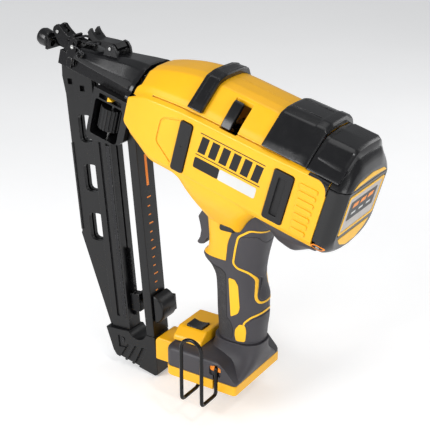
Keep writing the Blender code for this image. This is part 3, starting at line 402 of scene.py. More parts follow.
def eased(points, corner, steps=5, closed=False):
    """The same outline or path with its corners rounded, each by no more than its sides allow."""
    points = [Vector(p) for p in points]
    count = len(points)
    path = [] if closed else [points[0]]
    for i in range(count) if closed else range(1, count - 1):
        before, here, after = points[i - 1], points[i], points[(i + 1) % count]
        setback = min(corner, 0.48 * (before - here).length, 0.48 * (after - here).length)
        path += curve_corner(before, here, after, setback, steps)
    return path if closed else path + [points[-1]]


def mirrored(half, at):
    """A full ring at one station from its right half, listed from top centre to bottom centre."""
    right = [Vector((at, p[0], p[1])) for p in half]
    left = [Vector((p.x, -p.y, p.z)) for p in reversed(right[1:-1])]
    return right + left


def symmetric(rows, section, corner, steps=4, fine=True):
    """A skin whose right half at each station is the section of that row's sizes, with round corners."""
    rings = []
    for at, *sizes in rows:
        half = section(*sizes)
        rings.append(mirrored(eased(half, corner, steps) if fine else half, at))
    return loft(rings)


def smooth_rows(rows, per_gap=4, fine=True):
    """Rows of sizes with more between them, on a curve that never swings past its neighbours."""
    if not fine:
        return [list(row) for row in rows]

    def slope(i, k):
        if i in (0, len(rows) - 1):
            j = 1 if i == 0 else i - 1
            return (rows[j][k] - rows[i][k]) / (rows[j][0] - rows[i][0])
        before = (rows[i][k] - rows[i - 1][k]) / (rows[i][0] - rows[i - 1][0])
        after = (rows[i + 1][k] - rows[i][k]) / (rows[i + 1][0] - rows[i][0])
        return 0.0 if before * after <= 0 else 2 * before * after / (before + after)

    made = []
    for i in range(len(rows) - 1):
        a, b = rows[i], rows[i + 1]
        width = b[0] - a[0]
        for step in range(per_gap):
            t = step / per_gap
            h00, h10 = 2 * t**3 - 3 * t**2 + 1, t**3 - 2 * t**2 + t
            h01, h11 = -2 * t**3 + 3 * t**2, t**3 - t**2
            row = [a[0] + width * t]
            for k in range(1, len(a)):
                start, end = h10 * width * slope(i, k), h11 * width * slope(i + 1, k)
                row.append(h00 * a[k] + start + h01 * b[k] + end)
            made.append(row)
    return made + [list(rows[-1])]


def squircle(x_front, x_rear, half, z, power=3.2, sides=72):
    middle, reach = (x_front + x_rear) / 2, (x_rear - x_front) / 2
    ring = []
    for i in range(sides):
        a = math.tau * (i + 0.5) / sides
        c, s = math.cos(a), math.sin(a)
        x = middle + reach * math.copysign(abs(c) ** (2 / power), c)
        y = half * math.copysign(abs(s) ** (2 / power), s)
        ring.append((x, y, z))
    return ring


def tube(path, radius, sides):
    """A round wire swept along a path, its frame carried from point to point."""
    points = [Vector(p) for p in path]
    rings, side = [], None
    for i, point in enumerate(points):
        head = (points[min(i + 1, len(points) - 1)] - points[max(i - 1, 0)]).normalized()
        side = head.orthogonal() if side is None else side - head * side.dot(head)
        side.normalize()
        other = head.cross(side)
        turns = [math.tau * k / sides for k in range(sides)]
        rings.append([point + radius * (math.cos(a) * side + math.sin(a) * other) for a in turns])
    return loft(rings)


# ---------------------------------------------------------------- pieces


def add_mesh(name, space, bm):
    """An object at the origin whose mesh holds its place, turned from millimetres into metres."""
    for vert in bm.verts:
        vert.co = space @ (vert.co * MM)
    bmesh.ops.recalc_face_normals(bm, faces=bm.faces)
    mesh = bpy.data.meshes.new(name)
    bm.to_mesh(mesh)
    bm.free()
    obj = bpy.data.objects.new(name, mesh)
    bpy.context.scene.collection.objects.link(obj)
    return obj


def apply_modifiers(obj):
    graph = bpy.context.evaluated_depsgraph_get()
    mesh = bpy.data.meshes.new_from_object(obj.evaluated_get(graph))
    obj.modifiers.clear()
    obj.data = mesh


def boolean(obj, space, operation, shapes):
    """Joins shapes to a piece, cuts them from it or keeps only what they share; a pair names its space."""
    tools = []
    for shape in shapes:
        where, bm = shape if isinstance(shape, tuple) else (space, shape)
        tool = add_mesh("tool", where, bm)
        step = obj.modifiers.new(operation, "BOOLEAN")
        step.operation, step.solver, step.object = operation, "EXACT", tool
        tools.append(tool)
    if tools:
        apply_modifiers(obj)
    for tool in tools:
        bpy.data.objects.remove(tool)


def shade(obj, angle=SMOOTH_ANGLE):
    """Smooth shading that keeps corners sharper than the angle."""
    bm = bmesh.new()
    bm.from_mesh(obj.data)
    bmesh.ops.remove_doubles(bm, verts=bm.verts, dist=2e-6)
    for face in bm.faces:
        face.smooth = True
    for edge in bm.edges:
        edge.smooth = len(edge.link_faces) == 2 and edge.calc_face_angle(0.0) < angle
    bm.to_mesh(obj.data)
    bm.free()
    weighted = obj.modifiers.new("weighted", "WEIGHTED_NORMAL")
    weighted.keep_sharp = True


def round_edges(obj, width, segments=2, angle=34):
    bevel = obj.modifiers.new("round", "BEVEL")
    bevel.width, bevel.segments = width * MM, segments
    bevel.limit_method, bevel.angle_limit = "ANGLE", math.radians(angle)
    bevel.use_clamp_overlap = True
    apply_modifiers(obj)


def shaped(bm, add=(), keep=(), cut=()):
    """A shape in world millimetres after its own booleans, for use inside a larger piece."""
    obj = add_mesh("shaped", WORLD, bm)
    boolean(obj, WORLD, "UNION", add)
    boolean(obj, WORLD, "INTERSECT", keep)
    boolean(obj, WORLD, "DIFFERENCE", cut)
    made = bmesh.new()
    made.from_mesh(obj.data)
    bpy.data.objects.remove(obj)
    for vert in made.verts:
        vert.co = vert.co / MM
    return made


def softened(bm, radius, floor):
    """The shape with its sharp edges rounded, except those that lie at the floor height."""
    bmesh.ops.recalc_face_normals(bm, faces=bm.faces)
    edges = []
    for edge in bm.edges:
        sharp = len(edge.link_faces) == 2 and edge.calc_face_angle(0.0) >= math.radians(30)
        if sharp and any(vert.co.z > floor + 0.01 for vert in edge.verts):
            edges.append(edge)
    bmesh.ops.bevel(bm, geom=edges, offset=radius, offset_type="OFFSET", segments=4, profile=0.5,
                    affect="EDGES", clamp_overlap=True)
    return bm


def finish_piece(obj, paint, body=TOOL, stands_for=()):
    """Gives a piece its material, its body and the CAD nodes that it stands for."""
    obj.data.materials.clear()
    obj.data.materials.append(paint)
    shade(obj)
    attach(obj, body)
    if stands_for:
        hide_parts(*stands_for)


def piece(name, space, bm, paint, slot, body=TOOL, stands_for=(), add=(), keep=(), cut=(), bevel=0.0,
          segments=2):
    """One new piece: a shape joined to others, kept within others, then cut, with its edges rounded."""
    obj = add_mesh(name, space, bm)
    boolean(obj, space, "UNION", add)
    boolean(obj, space, "INTERSECT", keep)
    boolean(obj, space, "DIFFERENCE", cut)
    if bevel:
        round_edges(obj, bevel, segments)
    finish_piece(obj, paint, body, stands_for)


def refine(node, paint, bevel=0.4, segments=2, angle=34, add=(), cut=()):
    """A finer copy of a CAD node: faces merged, details added, edges rounded; it stands for the node."""
    source = frame["nodes"][node]
    bm = bmesh.new()
    bm.from_mesh(source.data)
    bmesh.ops.remove_doubles(bm, verts=bm.verts, dist=2e-6)
    bmesh.ops.dissolve_limit(bm, angle_limit=math.radians(1.0), verts=bm.verts, edges=bm.edges)
    mesh = bpy.data.meshes.new(node + "_fine")
    bm.to_mesh(mesh)
    bm.free()
    obj = bpy.data.objects.new(node + "_fine", mesh)
    bpy.context.scene.collection.objects.link(obj)
    boolean(obj, WORLD, "UNION", add)
    boolean(obj, WORLD, "DIFFERENCE", cut)
    if bevel:
        round_edges(obj, bevel, segments, angle)
    finish_piece(obj, paint, source["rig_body"], (node,))


def repaint(paint, *nodes):
    """CAD nodes that keep their shape and take a finer material."""
    for node in nodes:
        mesh = frame["nodes"][node].data
        mesh.materials.clear()
        mesh.materials.append(paint)


# ---------------------------------------------------------------- shell skins


# u, top, half width, ledge above the side panel, panel bottom, bottom
BARREL_STATIONS = (
    (NOSE_END, 29.0, 36.0, 8.0, -15.0, -27.0),
    (-66.0, 37.0, 40.0, 16.0, -22.0, -34.0),
    (-48.0, 42.5, HALF_WIDTH, 18.5, PANEL_BOTTOM, BARREL_BOTTOM + 2),
    (-28.0, 46.0, HALF_WIDTH, 20.0, PANEL_BOTTOM, BARREL_BOTTOM),
    (0.0, 47.5, HALF_WIDTH, 20.5, PANEL_BOTTOM, BARREL_BOTTOM),
    (50.0, 47.5, HALF_WIDTH, 21.0, PANEL_BOTTOM, BARREL_BOTTOM),
    (82.0, 47.0, HALF_WIDTH, 22.0, PANEL_BOTTOM, BARREL_BOTTOM),
    (BARREL_END, 46.0, HALF_WIDTH - 0.5, 21.0, PANEL_BOTTOM, BARREL_BOTTOM),
)


def barrel_half(top, half, ledge, panel, bottom, grow):
    scale = (half + grow) / HALF_WIDTH
    return [
        (0.0, top + grow),
        (12.0 * scale, top - 0.5 + grow),
        (20.5 * scale, top - 2.8 + grow),
        (34.0 * scale, ledge + 7.0 + 0.6 * grow),
        (37.0 * scale, ledge + 1.8 + 0.8 * grow),
        (half - 2.2 + grow, ledge + grow),
        (half + grow, ledge - 1.5 + 0.4 * grow),
        (half + grow, panel),
        (half - 4.0 + grow, panel - 5.5 - 0.4 * grow),
        (24.0 * scale, bottom + 1.5 - grow),
        (0.0, bottom - grow),
    ]


def barrel_skin(grow=0.0, stretch=0.0, fine=True):
    rows = smooth_rows(BARREL_STATIONS, fine=fine)
    rows[0][0] -= stretch
    rows[-1][0] += stretch
    return symmetric(rows, lambda *sizes: barrel_half(*sizes, grow), 1.5, 3, fine)


HANDLE_SECTIONS = (
    (184.0, -10.0, 60.0, 30.0, 3.2),
    (166.0, -9.0, 64.0, 28.0, 3.2),
    (153.0, -7.5, 56.0, 23.0, 3.0),
    (141.0, -7.5, 49.0, 18.5, 3.0),
    (128.0, -7.5, 46.0, 16.8, 2.8),
    (118.0, -9.0, 44.0, 16.0, 2.6),
    (110.0, -14.5, 43.0, 15.8, 2.4),
    (102.0, -6.0, 42.0, 15.8, 2.4),
    (92.0, -1.0, 43.0, 15.8, 2.4),
    (78.0, 0.0, 46.0, 16.0, 2.4),
    (62.0, 0.5, 45.5, 16.0, 2.4),
    (50.0, 1.5, 44.0, 15.8, 2.4),
    (COLLAR_Z + GAP, 2.0, 43.0, 16.0, 2.4),
)


def handle_skin(grow=0.0, fine=True):
    rows = smooth_rows(HANDLE_SECTIONS, fine=fine)
    sides = 72 if fine else 24
    return loft([squircle(f - grow, r + grow, half + grow, z, p, sides) for z, f, r, half, p in rows])


APRON_ROWS = ((-24.0, -55.0, 66.0, 40.5), (-31.0, -50.0, 58.0, 40.3), (-38.0, -30.0, 50.0, 38.8),
              (-45.0, -22.5, 45.0, 36.0), (-52.0, -15.5, 41.0, 32.0), (-60.0, -7.0, 38.0, 26.5),
              (-67.0, -1.0, 36.0, 20.5))


def apron_skin(grow=0.0, fine=True):
    """The yellow sides drawn down and in from the barrel's panels to the neck."""
    rows = smooth_rows(APRON_ROWS, fine=fine)
    sides = 72 if fine else 28
    rings = [squircle(f - grow, r + grow, half + grow, w, 5.0, sides) for w, f, r, half in rows]
    if grow:
        rings[-1] = [(x, y, z - grow) for x, y, z in rings[-1]]
    return loft(rings)


HORN_ROWS = ((44.0, -43.0, 22.0), (56.0, -52.0, 27.0), (68.0, -60.0, 30.0), (80.0, -61.0, 32.0),
             (92.0, -54.0, 33.0), (104.2, -45.0, 34.0))


def horn_skin(grow=0.0, fine=True):
    """The dark shell under the back of the barrel, over the web of the hand."""
    def section(u, bottom, half):
        return [(0.0, -10.0), (half + 3 + grow, -10.0), (half + 4 + grow, -31.0),
                (half + grow, -42.0 + 0.1 * (u - 80)), (half * 0.62 + grow, bottom + 4 - grow),
                (half * 0.3, bottom + 0.8 - grow), (0.0, bottom - grow)]

    rows = smooth_rows(HORN_ROWS, fine=fine)
    return symmetric([(row[0], *row) for row in rows], section, 5.0, 4, fine)


CAP_STATIONS = (
    (BARREL_END + GAP, 44.5, 40.0, 20.0, -30.0, -44.5),
    (109.0, 41.0, 39.5, 20.0, -30.0, -43.0),
    (113.5, 35.5, 37.0, 20.0, -28.5, -41.5),
    (REAR_FACE, 26.5, 33.0, 18.0, -25.5, -38.5),
)


def cap_half(top, half, ledge, panel, bottom, grow):
    scale = (half + grow) / 40.0
    return [
        (0.0, top + grow),
        (20.0 * scale, top - 1.6 + grow),
        (31.0 * scale, ledge + 0.45 * (top - ledge) + grow),
        (half - 1.5 + grow, ledge + grow),
        (half + grow, ledge - 3.0 + grow),
        (half + grow, panel),
        (half - 5.0 + grow, panel - 7.0 - grow),
        (half * 0.55, bottom + 2.0 - grow),
        (0.0, bottom - grow),
    ]


def cap_skin(grow=0.0, stretch=0.0, fine=True):
    rows = smooth_rows(CAP_STATIONS, fine=fine)
    rows[0][0] -= stretch
    if grow < 0:
        rows[-1][0] -= WALL
    elif grow > 0:
        rows[-1][0] += grow
    return symmetric(rows, lambda *sizes: cap_half(*sizes, grow), 3.5, 4, fine)


def cap_hood():
    """The part of the cap that reaches forward over the barrel, above the side panels."""
    def section(top):
        return [(0.0, top), (20.0, top - 1.6), (32.0, top - 13.0), (38.5, 25.5), (40.0, 23.0), (38.0, 23.0),
                (20.0, 23.0), (0.0, 23.0)]

    return symmetric(((80.8, 46.6), (BARREL_END + 6.0, 44.5)), section, 2.0)


def hood_hollow():
    half = [(0.0, 42.0), (19.0, 40.5), (29.5, 30.0), (35.5, 23.0), (36.5, 18.0), (20.0, 18.0), (0.0, 18.0)]
    return symmetric(((70.0,), (BARREL_END + 6.0,)), lambda: half, 0.0, fine=False)


def neck_region():
    last = NECK_SPLIT[-1][0]
    line = eased([(x, z) for x, z in NECK_SPLIT], 6.0, 5)
    return prism([(-200, HANDLE_TOP)] + line + [(last + 1.0, 190.0), (-200, 190.0)], -80, 80)


def saddle(foot, rows):
    """A body that lies over the barrel like a saddle, from its lift above the barrel at each station."""
    def section(lift):
        return [(0.0, 47.3 + lift), (13.0, 47.0 + lift), (21.5, 44.6 + lift), (37.0, 26.0 + lift),
                (39.2 + 0.35 * lift, foot), (38.0, foot - 0.6), (20.0, 20.0), (0.0, 20.0)]

    return symmetric(rows, section, 1.6)


def side_inlay(name, space, skin, outline, side, lift, sink, paint, slot, corner=0.0):
    """A thin patch that follows a skin: an outline seen from the side, kept near that skin on one side."""
    points = eased(outline, corner, 5, closed=True) if corner else outline
    piece(name, space, prism(points, *span(side, 0.0, 70.0)), paint, slot, keep=[skin(lift)],
          cut=[skin(-sink)])


def band(path, width):
    """The outline of a line of even width along a path."""
    points = [Vector(p) for p in path]
    near, far = [], []
    for i, point in enumerate(points):
        head = (points[min(i + 1, len(points) - 1)] - points[max(i - 1, 0)]).normalized()
        across = Vector((-head.y, head.x)) * width / 2
        near.append(point + across)
        far.append(point - across)
    return near + far[::-1]


# ---------------------------------------------------------------- body


def build_shell():
    """The yellow shell: barrel, apron and neck, hollow, with seats, pockets and parting line."""
    pad = HALF_WIDTH - 1.6
    pads = []
    for side in (LEFT, RIGHT):
        pads.append(prism(rounded((-28.8, -29.5), (-16.7, 14.0), 2.4), *span(side, pad, 60)))
        pads.append(prism(rounded((57.5, -28.8), (75.5, 14.1), 2.4), *span(side, pad, 60)))
        pads.append((WORLD, prism(rounded((11.0, 140.2), (25.0, 146.2), 2.6), *span(side, 6, 40))))
    pocket = eased([(-41.0, 21.6), (-35.0, 19.0), (-21.5, 34.0), (-22.5, 45), (-30, 48), (-46, 40)], 1.2, 4,
                   closed=True)
    piece(
        "yellow_shell", BARREL, apron_skin(), YELLOW, "yellow_plastic",
        stands_for=("housing_left", "housing_right"),
        add=[barrel_skin(), (WORLD, neck_block())],
        cut=[
            barrel_skin(-WALL, 20.0, fine=False),
            (WORLD, handle_skin(-WALL, fine=False)),
            apron_skin(-WALL, fine=False),
            # the parting line of the two halves, a fine groove along the top and below the nose
            box((-80, -0.21, 45.3), (100, 0.17, 60.3)),
            prism([(-110, -12), (NOSE_END - 0.5, -12), (-79, -25), (-60, -31), (-57, -35), (-57, -90),
                   (-110, -90)], -60, 60),
            box((79.2, -60, 22.6), (130, 60, 70)),
            prism(pocket, 3.2, 18.6, "x"),
            (WORLD, box((-30, -7.8, 114.0), (8.0, 7.8, 152.0))),
            (WORLD, rod((-7.0, 148.0), 1.8, -10.2, 10.2)),
        ] + pads + side_grooves(),
    )


def neck_block():
    """The yellow part of the neck: the handle's skin in front of the parting line."""
    return shaped(handle_skin(), keep=[neck_region()])


def side_grooves():
    """Shallow grooves that frame the side panels."""
    frame_line = eased([(-30.2, 12.5), (-43.5, 8.2), (-46.4, 4.5), (-46.8, -13.5), (-30.2, -25.0)], 2.5, 5)
    cuts = []
    for side in (LEFT, RIGHT):
        cuts.append(prism(band(frame_line, 1.5), *span(side, HALF_WIDTH - 0.8, 60)))
        rings = []
        for u, _, half, ledge, _, _ in smooth_rows(BARREL_STATIONS)[5:-6]:
            y, w = half * 37.0 / HALF_WIDTH + 0.15, ledge + 0.9
            corners = ((y - 0.8, w - 0.7), (y + 0.9, w - 0.9), (y + 0.9, w + 0.4), (y - 0.5, w + 0.9))
            rings.append([(u, side * a, b) for a, b in corners])
        cuts.append(loft(rings))
    return cuts


def build_panel_details():
    """Label strip, plain graphic bars and cooling ribs on both side panels."""
    for side, hand in SIDES:
        def plate(name, outline, thick=0.12, paint=LABEL_DARK, slot="black_plastic"):
            shape = prism(outline, *span(side, HALF_WIDTH - 0.5, HALF_WIDTH + thick))
            piece(f"{name}_{hand}", BARREL, shape, paint, slot, bevel=0.12, segments=1)

        plate("label_strip_dark", rounded((-9.6, -18.8), (13.9, -9.6), 1.6), 0.14)
        plate("label_strip_light", rounded((13.9, -18.8), (48.0, -9.6), 1.6), 0.14, LABEL_LIGHT)
        plate("graphic_line_top", slanted(-9.6, 10.6, 50.0, 11.4, 0.0))
        plate("graphic_line_low", slanted(-9.6, -7.6, 50.0, -6.8, 0.0))
        for i in range(6):
            left = -8.6 + 9.9 * i
            plate(f"graphic_bar_{i}", slanted(left, -5.2, left + 6.9, 9.0, 1.5))
        for i in range(7):
            low = 8.8 - 6.1 * i
            outline = rounded((80.0 + 0.5 * i, low), (95.5, low + 3.4), 1.2)
            plate(f"cooling_rib_{i}", outline, 0.75, YELLOW, "yellow_plastic")


def build_grip():
    """The dark grip shell with its soft zones, yellow outlines and inserts."""
    piece(
        "grip_shell", WORLD, handle_skin(), GREY, "grey_plastic", stands_for=("grip_left", "grip_right"),
        add=[(BARREL, horn_skin())],
        cut=[
            (BARREL, barrel_skin(GAP, 3.0)),
            (BARREL, apron_skin(GAP)),
            handle_skin(-WALL, fine=False),
            (BARREL, horn_skin(-WALL, fine=False)),
            grip_cutaway(),
            prism(rounded((10.8, 140.0), (25.2, 146.4), 2.6), -40, 40),
            box((20, -0.18, 30), (70, 0.18, 160)),
        ],
    )
    outer = [(52.4, 143.2), (39.5, 145.2), (27.5, 137.0), (24.2, 125.3), (21.6, 111.6), (24.6, 107.9),
             (34.9, 104.8), (40.2, 99.3), (41.0, 82.6), (43.6, 77.6), (49.0, 78.0)]
    lower = [(48.5, 72.5), (46.1, 68.8), (38.1, 64.4), (32.4, 58.6), (31.6, 54.0)]
    insert = [(17.6, 97.2), (23.4, 96.8), (26.6, 91.9), (28.6, 72.0), (27.0, 66.4), (20.0, 61.8)]
    insert_low = [(24.4, 51.0), (28.5, 56.6), (33.4, 55.8), (34.2, 50.4), (33.4, 40.6), (25.4, 40.2),
                  (23.9, 45.5)]
    palm = [(29.6, 137.0), (44.0, 139.0), (52.0, 120.0), (60.0, 100.0), (60.0, 79.5), (44.6, 80.0),
            (43.2, 83.0), (42.3, 100.2), (36.0, 106.6), (25.6, 110.2), (23.9, 112.5), (26.3, 126.0)]
    palm_low = [(60.0, 74.0), (49.5, 71.0), (47.0, 66.6), (39.4, 62.4), (34.6, 57.2), (36.4, 50.0),
                (35.4, 41.0), (60.0, 41.0)]
    front = [(-12.0, 108.0), (0.0, 104.0), (9.0, 104.0), (14.6, 100.5), (15.6, 60.0), (19.5, 57.5),
             (22.0, 50.0), (21.5, 40.8), (-12.0, 40.8)]
    for side, hand in SIDES:
        def trim(name, outline, lift, corner, paint=YELLOW_TRIM, slot="yellow_plastic"):
            side_inlay(f"{name}_{hand}", WORLD, handle_skin, outline, side, lift, 0.5, paint, slot, corner)

        trim("grip_line_upper", band(eased(outer, 3.0, 5), 1.7), 0.30, 0.0)
        trim("grip_line_lower", band(eased(lower, 2.5, 5), 1.5), 0.30, 0.0)
        trim("grip_insert_upper", insert, 0.34, 1.6)
        trim("grip_insert_lower", insert_low, 0.34, 1.6)
        trim("palm_pad_upper", palm, 0.42, 2.4, GREY, "grey_plastic")
        trim("palm_pad_lower", palm_low, 0.42, 2.4, GREY, "grey_plastic")
        trim("finger_pad", front, 0.38, 2.4, DOTTED, "grey_plastic")


def build_cap_screw():
    """An orange-lined oval recess with a screw, low on each side of the rear cap."""
    for side, hand in SIDES:
        for name, reach, rise, lift, sink, paint, slot in (
            ("horn_oval", 5.6, 2.7, 0.25, 0.6, ORANGE, "yellow_plastic"),
            ("horn_oval_core", 4.3, 1.7, 0.4, 0.4, BLACK, "black_plastic"),
            ("horn_oval_screw", 1.7, 1.3, 0.55, 0.3, STEEL, "bright_steel"),
        ):
            turns = [math.tau * k / 28 for k in range(28)]
            oval = [(107.0 + reach * math.cos(a), -32.2 + rise * math.sin(a)) for a in turns]
            side_inlay(f"{name}_{hand}", BARREL, cap_skin, oval, side, lift, sink, paint, slot)


def build_cap_corners():
    """The cap's black corners, which round off the yellow panels at the top of their rear edge."""
    outline = [(BARREL_END + 0.1, 22.4), (BARREL_END + 0.1, 10.5)]
    for k in range(11):
        a = math.pi / 2 * k / 10
        outline.append((BARREL_END - 9.6 + 9.4 * math.cos(a), 11.0 + 9.8 * math.sin(a)))
    outline += [(84.0, 20.8), (84.0, 22.4)]
    for side, hand in SIDES:
        side_inlay(f"cap_corner_{hand}", BARREL, barrel_skin, outline, side, 0.4, 0.5, BLACK, "grey_plastic")


def grip_cutaway():
    """Everything in front of the yellow neck's edge, which the grip leaves free."""
    line = eased([(x + GAP, z) for x, z in NECK_SPLIT], 6.0, 5)
    return prism(line + [(NECK_SPLIT[-1][0] + 2.0, 300), (-200, 300), (-200, HANDLE_TOP - GAP),
                         (NECK_SPLIT[0][0] + GAP, HANDLE_TOP - GAP)], -80, 80)


def build_cap():
    """The black rear cap with its boss, seam, crescents and badge."""
    def boss(shrink):
        return [(0.0, 46.3 - shrink), (22.0 - shrink, 45.2 - shrink), (33.5 - shrink, 32.5 - shrink),
                (35.0 - shrink, 26.0), (20.0, 24.0), (0.0, 24.0)]

    piece(
        "rear_cap_fine", BARREL, cap_skin(), BLACK, "grey_plastic", stands_for=("rear_cap",),
        add=[cap_hood(), symmetric(((84.0, 0.0), (104.0, 0.0), (107.5, 1.5), (109.5, 5.0)), boss, 4.0, 5)],
        cut=[
            cap_skin(-WALL, 5.0, fine=False),
            box((78, -36, 15), (REAR_FACE - 12, 36, 23.2)),
            hood_hollow(),
            prism([(90, -100), (104.6, -100), (104.6, -28), (90, -28)], -60, 60),
            box((REAR_FACE - 1.2, -30.9, -21.1), (REAR_FACE + 5, 30.9, 14.1)),
            # seam between the cap's upper and lower mouldings
            box((90, -60, 17.2), (130, 60, 17.9)),
        ],
    )
    build_badge()


def build_badge():
    """The cap's rear face: two crescents and a badge with a dark bar, slanted stripes and dashes."""
    def layer(name, outline, low, high, paint, slot="yellow_plastic", **more):
        shape = prism(outline, REAR_FACE + low, REAR_FACE + high, "x")
        piece(name, BARREL, shape, paint, slot, segments=1, **more)

    top = [(-29.0, 18.6), (-22.0, 22.8), (0.0, 25.6), (22.0, 22.8), (29.0, 18.6), (20.0, 19.6), (0.0, 20.4),
           (-20.0, 19.6)]
    low = [(-27.0, -24.6), (27.0, -24.6), (21.0, -31.0), (8.0, -36.2), (-8.0, -36.2), (-21.0, -31.0)]
    for name, outline in (("crescent_top", top), ("crescent_low", low)):
        layer(name, eased(outline, 2.0, 5, closed=True), -2.0, 0.32, YELLOW_TRIM, bevel=0.15)
    window = prism(rounded((-28.2, -18.4), (28.2, 11.4), 1.8), REAR_FACE - 0.3, REAR_FACE + 3, "x")
    layer("badge_rim", rounded((-30.4, -20.6), (30.4, 13.6), 2.4), -0.9, 0.3, YELLOW_TRIM,
          stands_for=("rear_badge",), cut=[window], bevel=0.12)
    layer("badge_plate", rounded((-28.0, -18.2), (28.0, 11.2), 1.6), -0.6, 0.02, SILVER, bevel=0.1)
    layer("badge_bar", rounded((-24.0, -9.5), (22.0, 7.0), 1.4), -0.3, 0.12, LABEL_DARK, "black_plastic",
          bevel=0.05)
    for i in range(3):
        left = -19.0 + 13.0 * i
        layer(f"badge_stripe_{i}", slanted(left, 0.6, left + 9.0, 4.2, 1.2), 0.0, 0.2, ORANGE)
        layer(f"badge_dash_{i}", slanted(left + 1, -5.4, left + 8.0, -3.6, 0.6), 0.0, 0.2, LABEL_LIGHT,
              "black_plastic")


def build_guards():
    """The strap round the barrel's front and the guard before the cap, with their raised ridges."""
    strap = saddle(25.0, ((-27.5, 2.6), (-26.6, 3.6), (-15.4, 4.2), (-14.5, 3.2)))
    ridges = []
    for u in (-24.6, -17.6):
        ridges.append(saddle(25.2, ((u - 0.6, 3.8), (u - 0.2, 4.35), (u + 0.2, 4.35), (u + 0.6, 3.8))))
    piece("front_strap_fine", BARREL, strap, BLACK, "black_plastic", stands_for=("front_strap",), add=ridges,
          cut=[barrel_skin(GAP, 5.0)], bevel=0.35)
    guard = saddle(24.0, ((41.0, 2.2), (42.4, 3.0), (44.0, 3.4), (60.0, 3.95), (76.0, 4.4), (78.5, 4.2),
                          (80.5, 3.4)))
    ridge = saddle(24.6, ((70.0, 3.9), (71.2, 5.1), (77.6, 5.2), (79.8, 4.0)))
    channels = [box((43.5, y - 0.8, 50.2), (69.0, y + 0.8, 60.0)) for y in (-9.4, 9.4)]
    piece("rear_guard_fine", BARREL, guard, BLACK, "black_plastic", stands_for=("rear_guard",), add=[ridge],
          cut=[barrel_skin(GAP, 5.0)] + channels, bevel=0.3)


def build_pads():
    """The rubber side pads, the front one with a small hole and the rear one with a groove."""
    for side, hand in SIDES:
        hole = rod((-22.7, -7.0), 0.9, *span(side, HALF_WIDTH + 1.1, 60))
        groove = prism(rounded((63.3, -23.2), (69.7, 8.7), 1.2), *span(side, HALF_WIDTH - 0.4, 60))
        for node, lo, hi, bevel, cut in (("front_pad", (-28.3, -29.0), (-17.2, 13.5), 0.7, hole),
                                         ("rear_pad", (58.0, -28.3), (75.0, 13.6), 0.55, groove)):
            shape = prism(rounded(lo, hi, 2.2), *span(side, HALF_WIDTH - 1.3, HALF_WIDTH + 1.5))
            piece(f"{node}_{hand}_fine", BARREL, shape, RUBBER, "black_rubber",
                  stands_for=(f"{node}_{hand}",), cut=[cut], bevel=bevel, segments=3)


# ---------------------------------------------------------------- foot


def foot_flare():
    """The neck above the foot, which sweeps out to the rear corners in a hollow curve."""
    rings = []
    for k in range(25):
        t = k / 24
        spread = t**2.3
        z = COLLAR_Z - (COLLAR_Z - RIM_Z - GAP) * t
        front, rear = -1.0 - 33.0 * spread, 44.8 - 4.4 * t - 2.5 * t**6
        rings.append(squircle(front, rear, 17.8 + 19.0 * spread, z, 2.6 + 9.0 * spread**1.5, 96))
    return loft(rings)


def foot_block(rows):
    """The foot's outline at each height, drawn in from its front, rear and sides by the amounts given."""
    rings = []
    for z, front, rear, sides in rows:
        lo, hi = (FOOT_FRONT + front, -FOOT_HALF + sides), (FOOT_REAR - rear, FOOT_HALF - sides)
        rings.append([(x, y, z) for x, y in rounded(lo, hi, 3.0, 7.0, 7.0, 3.0, steps=8)])
    return loft(rings)


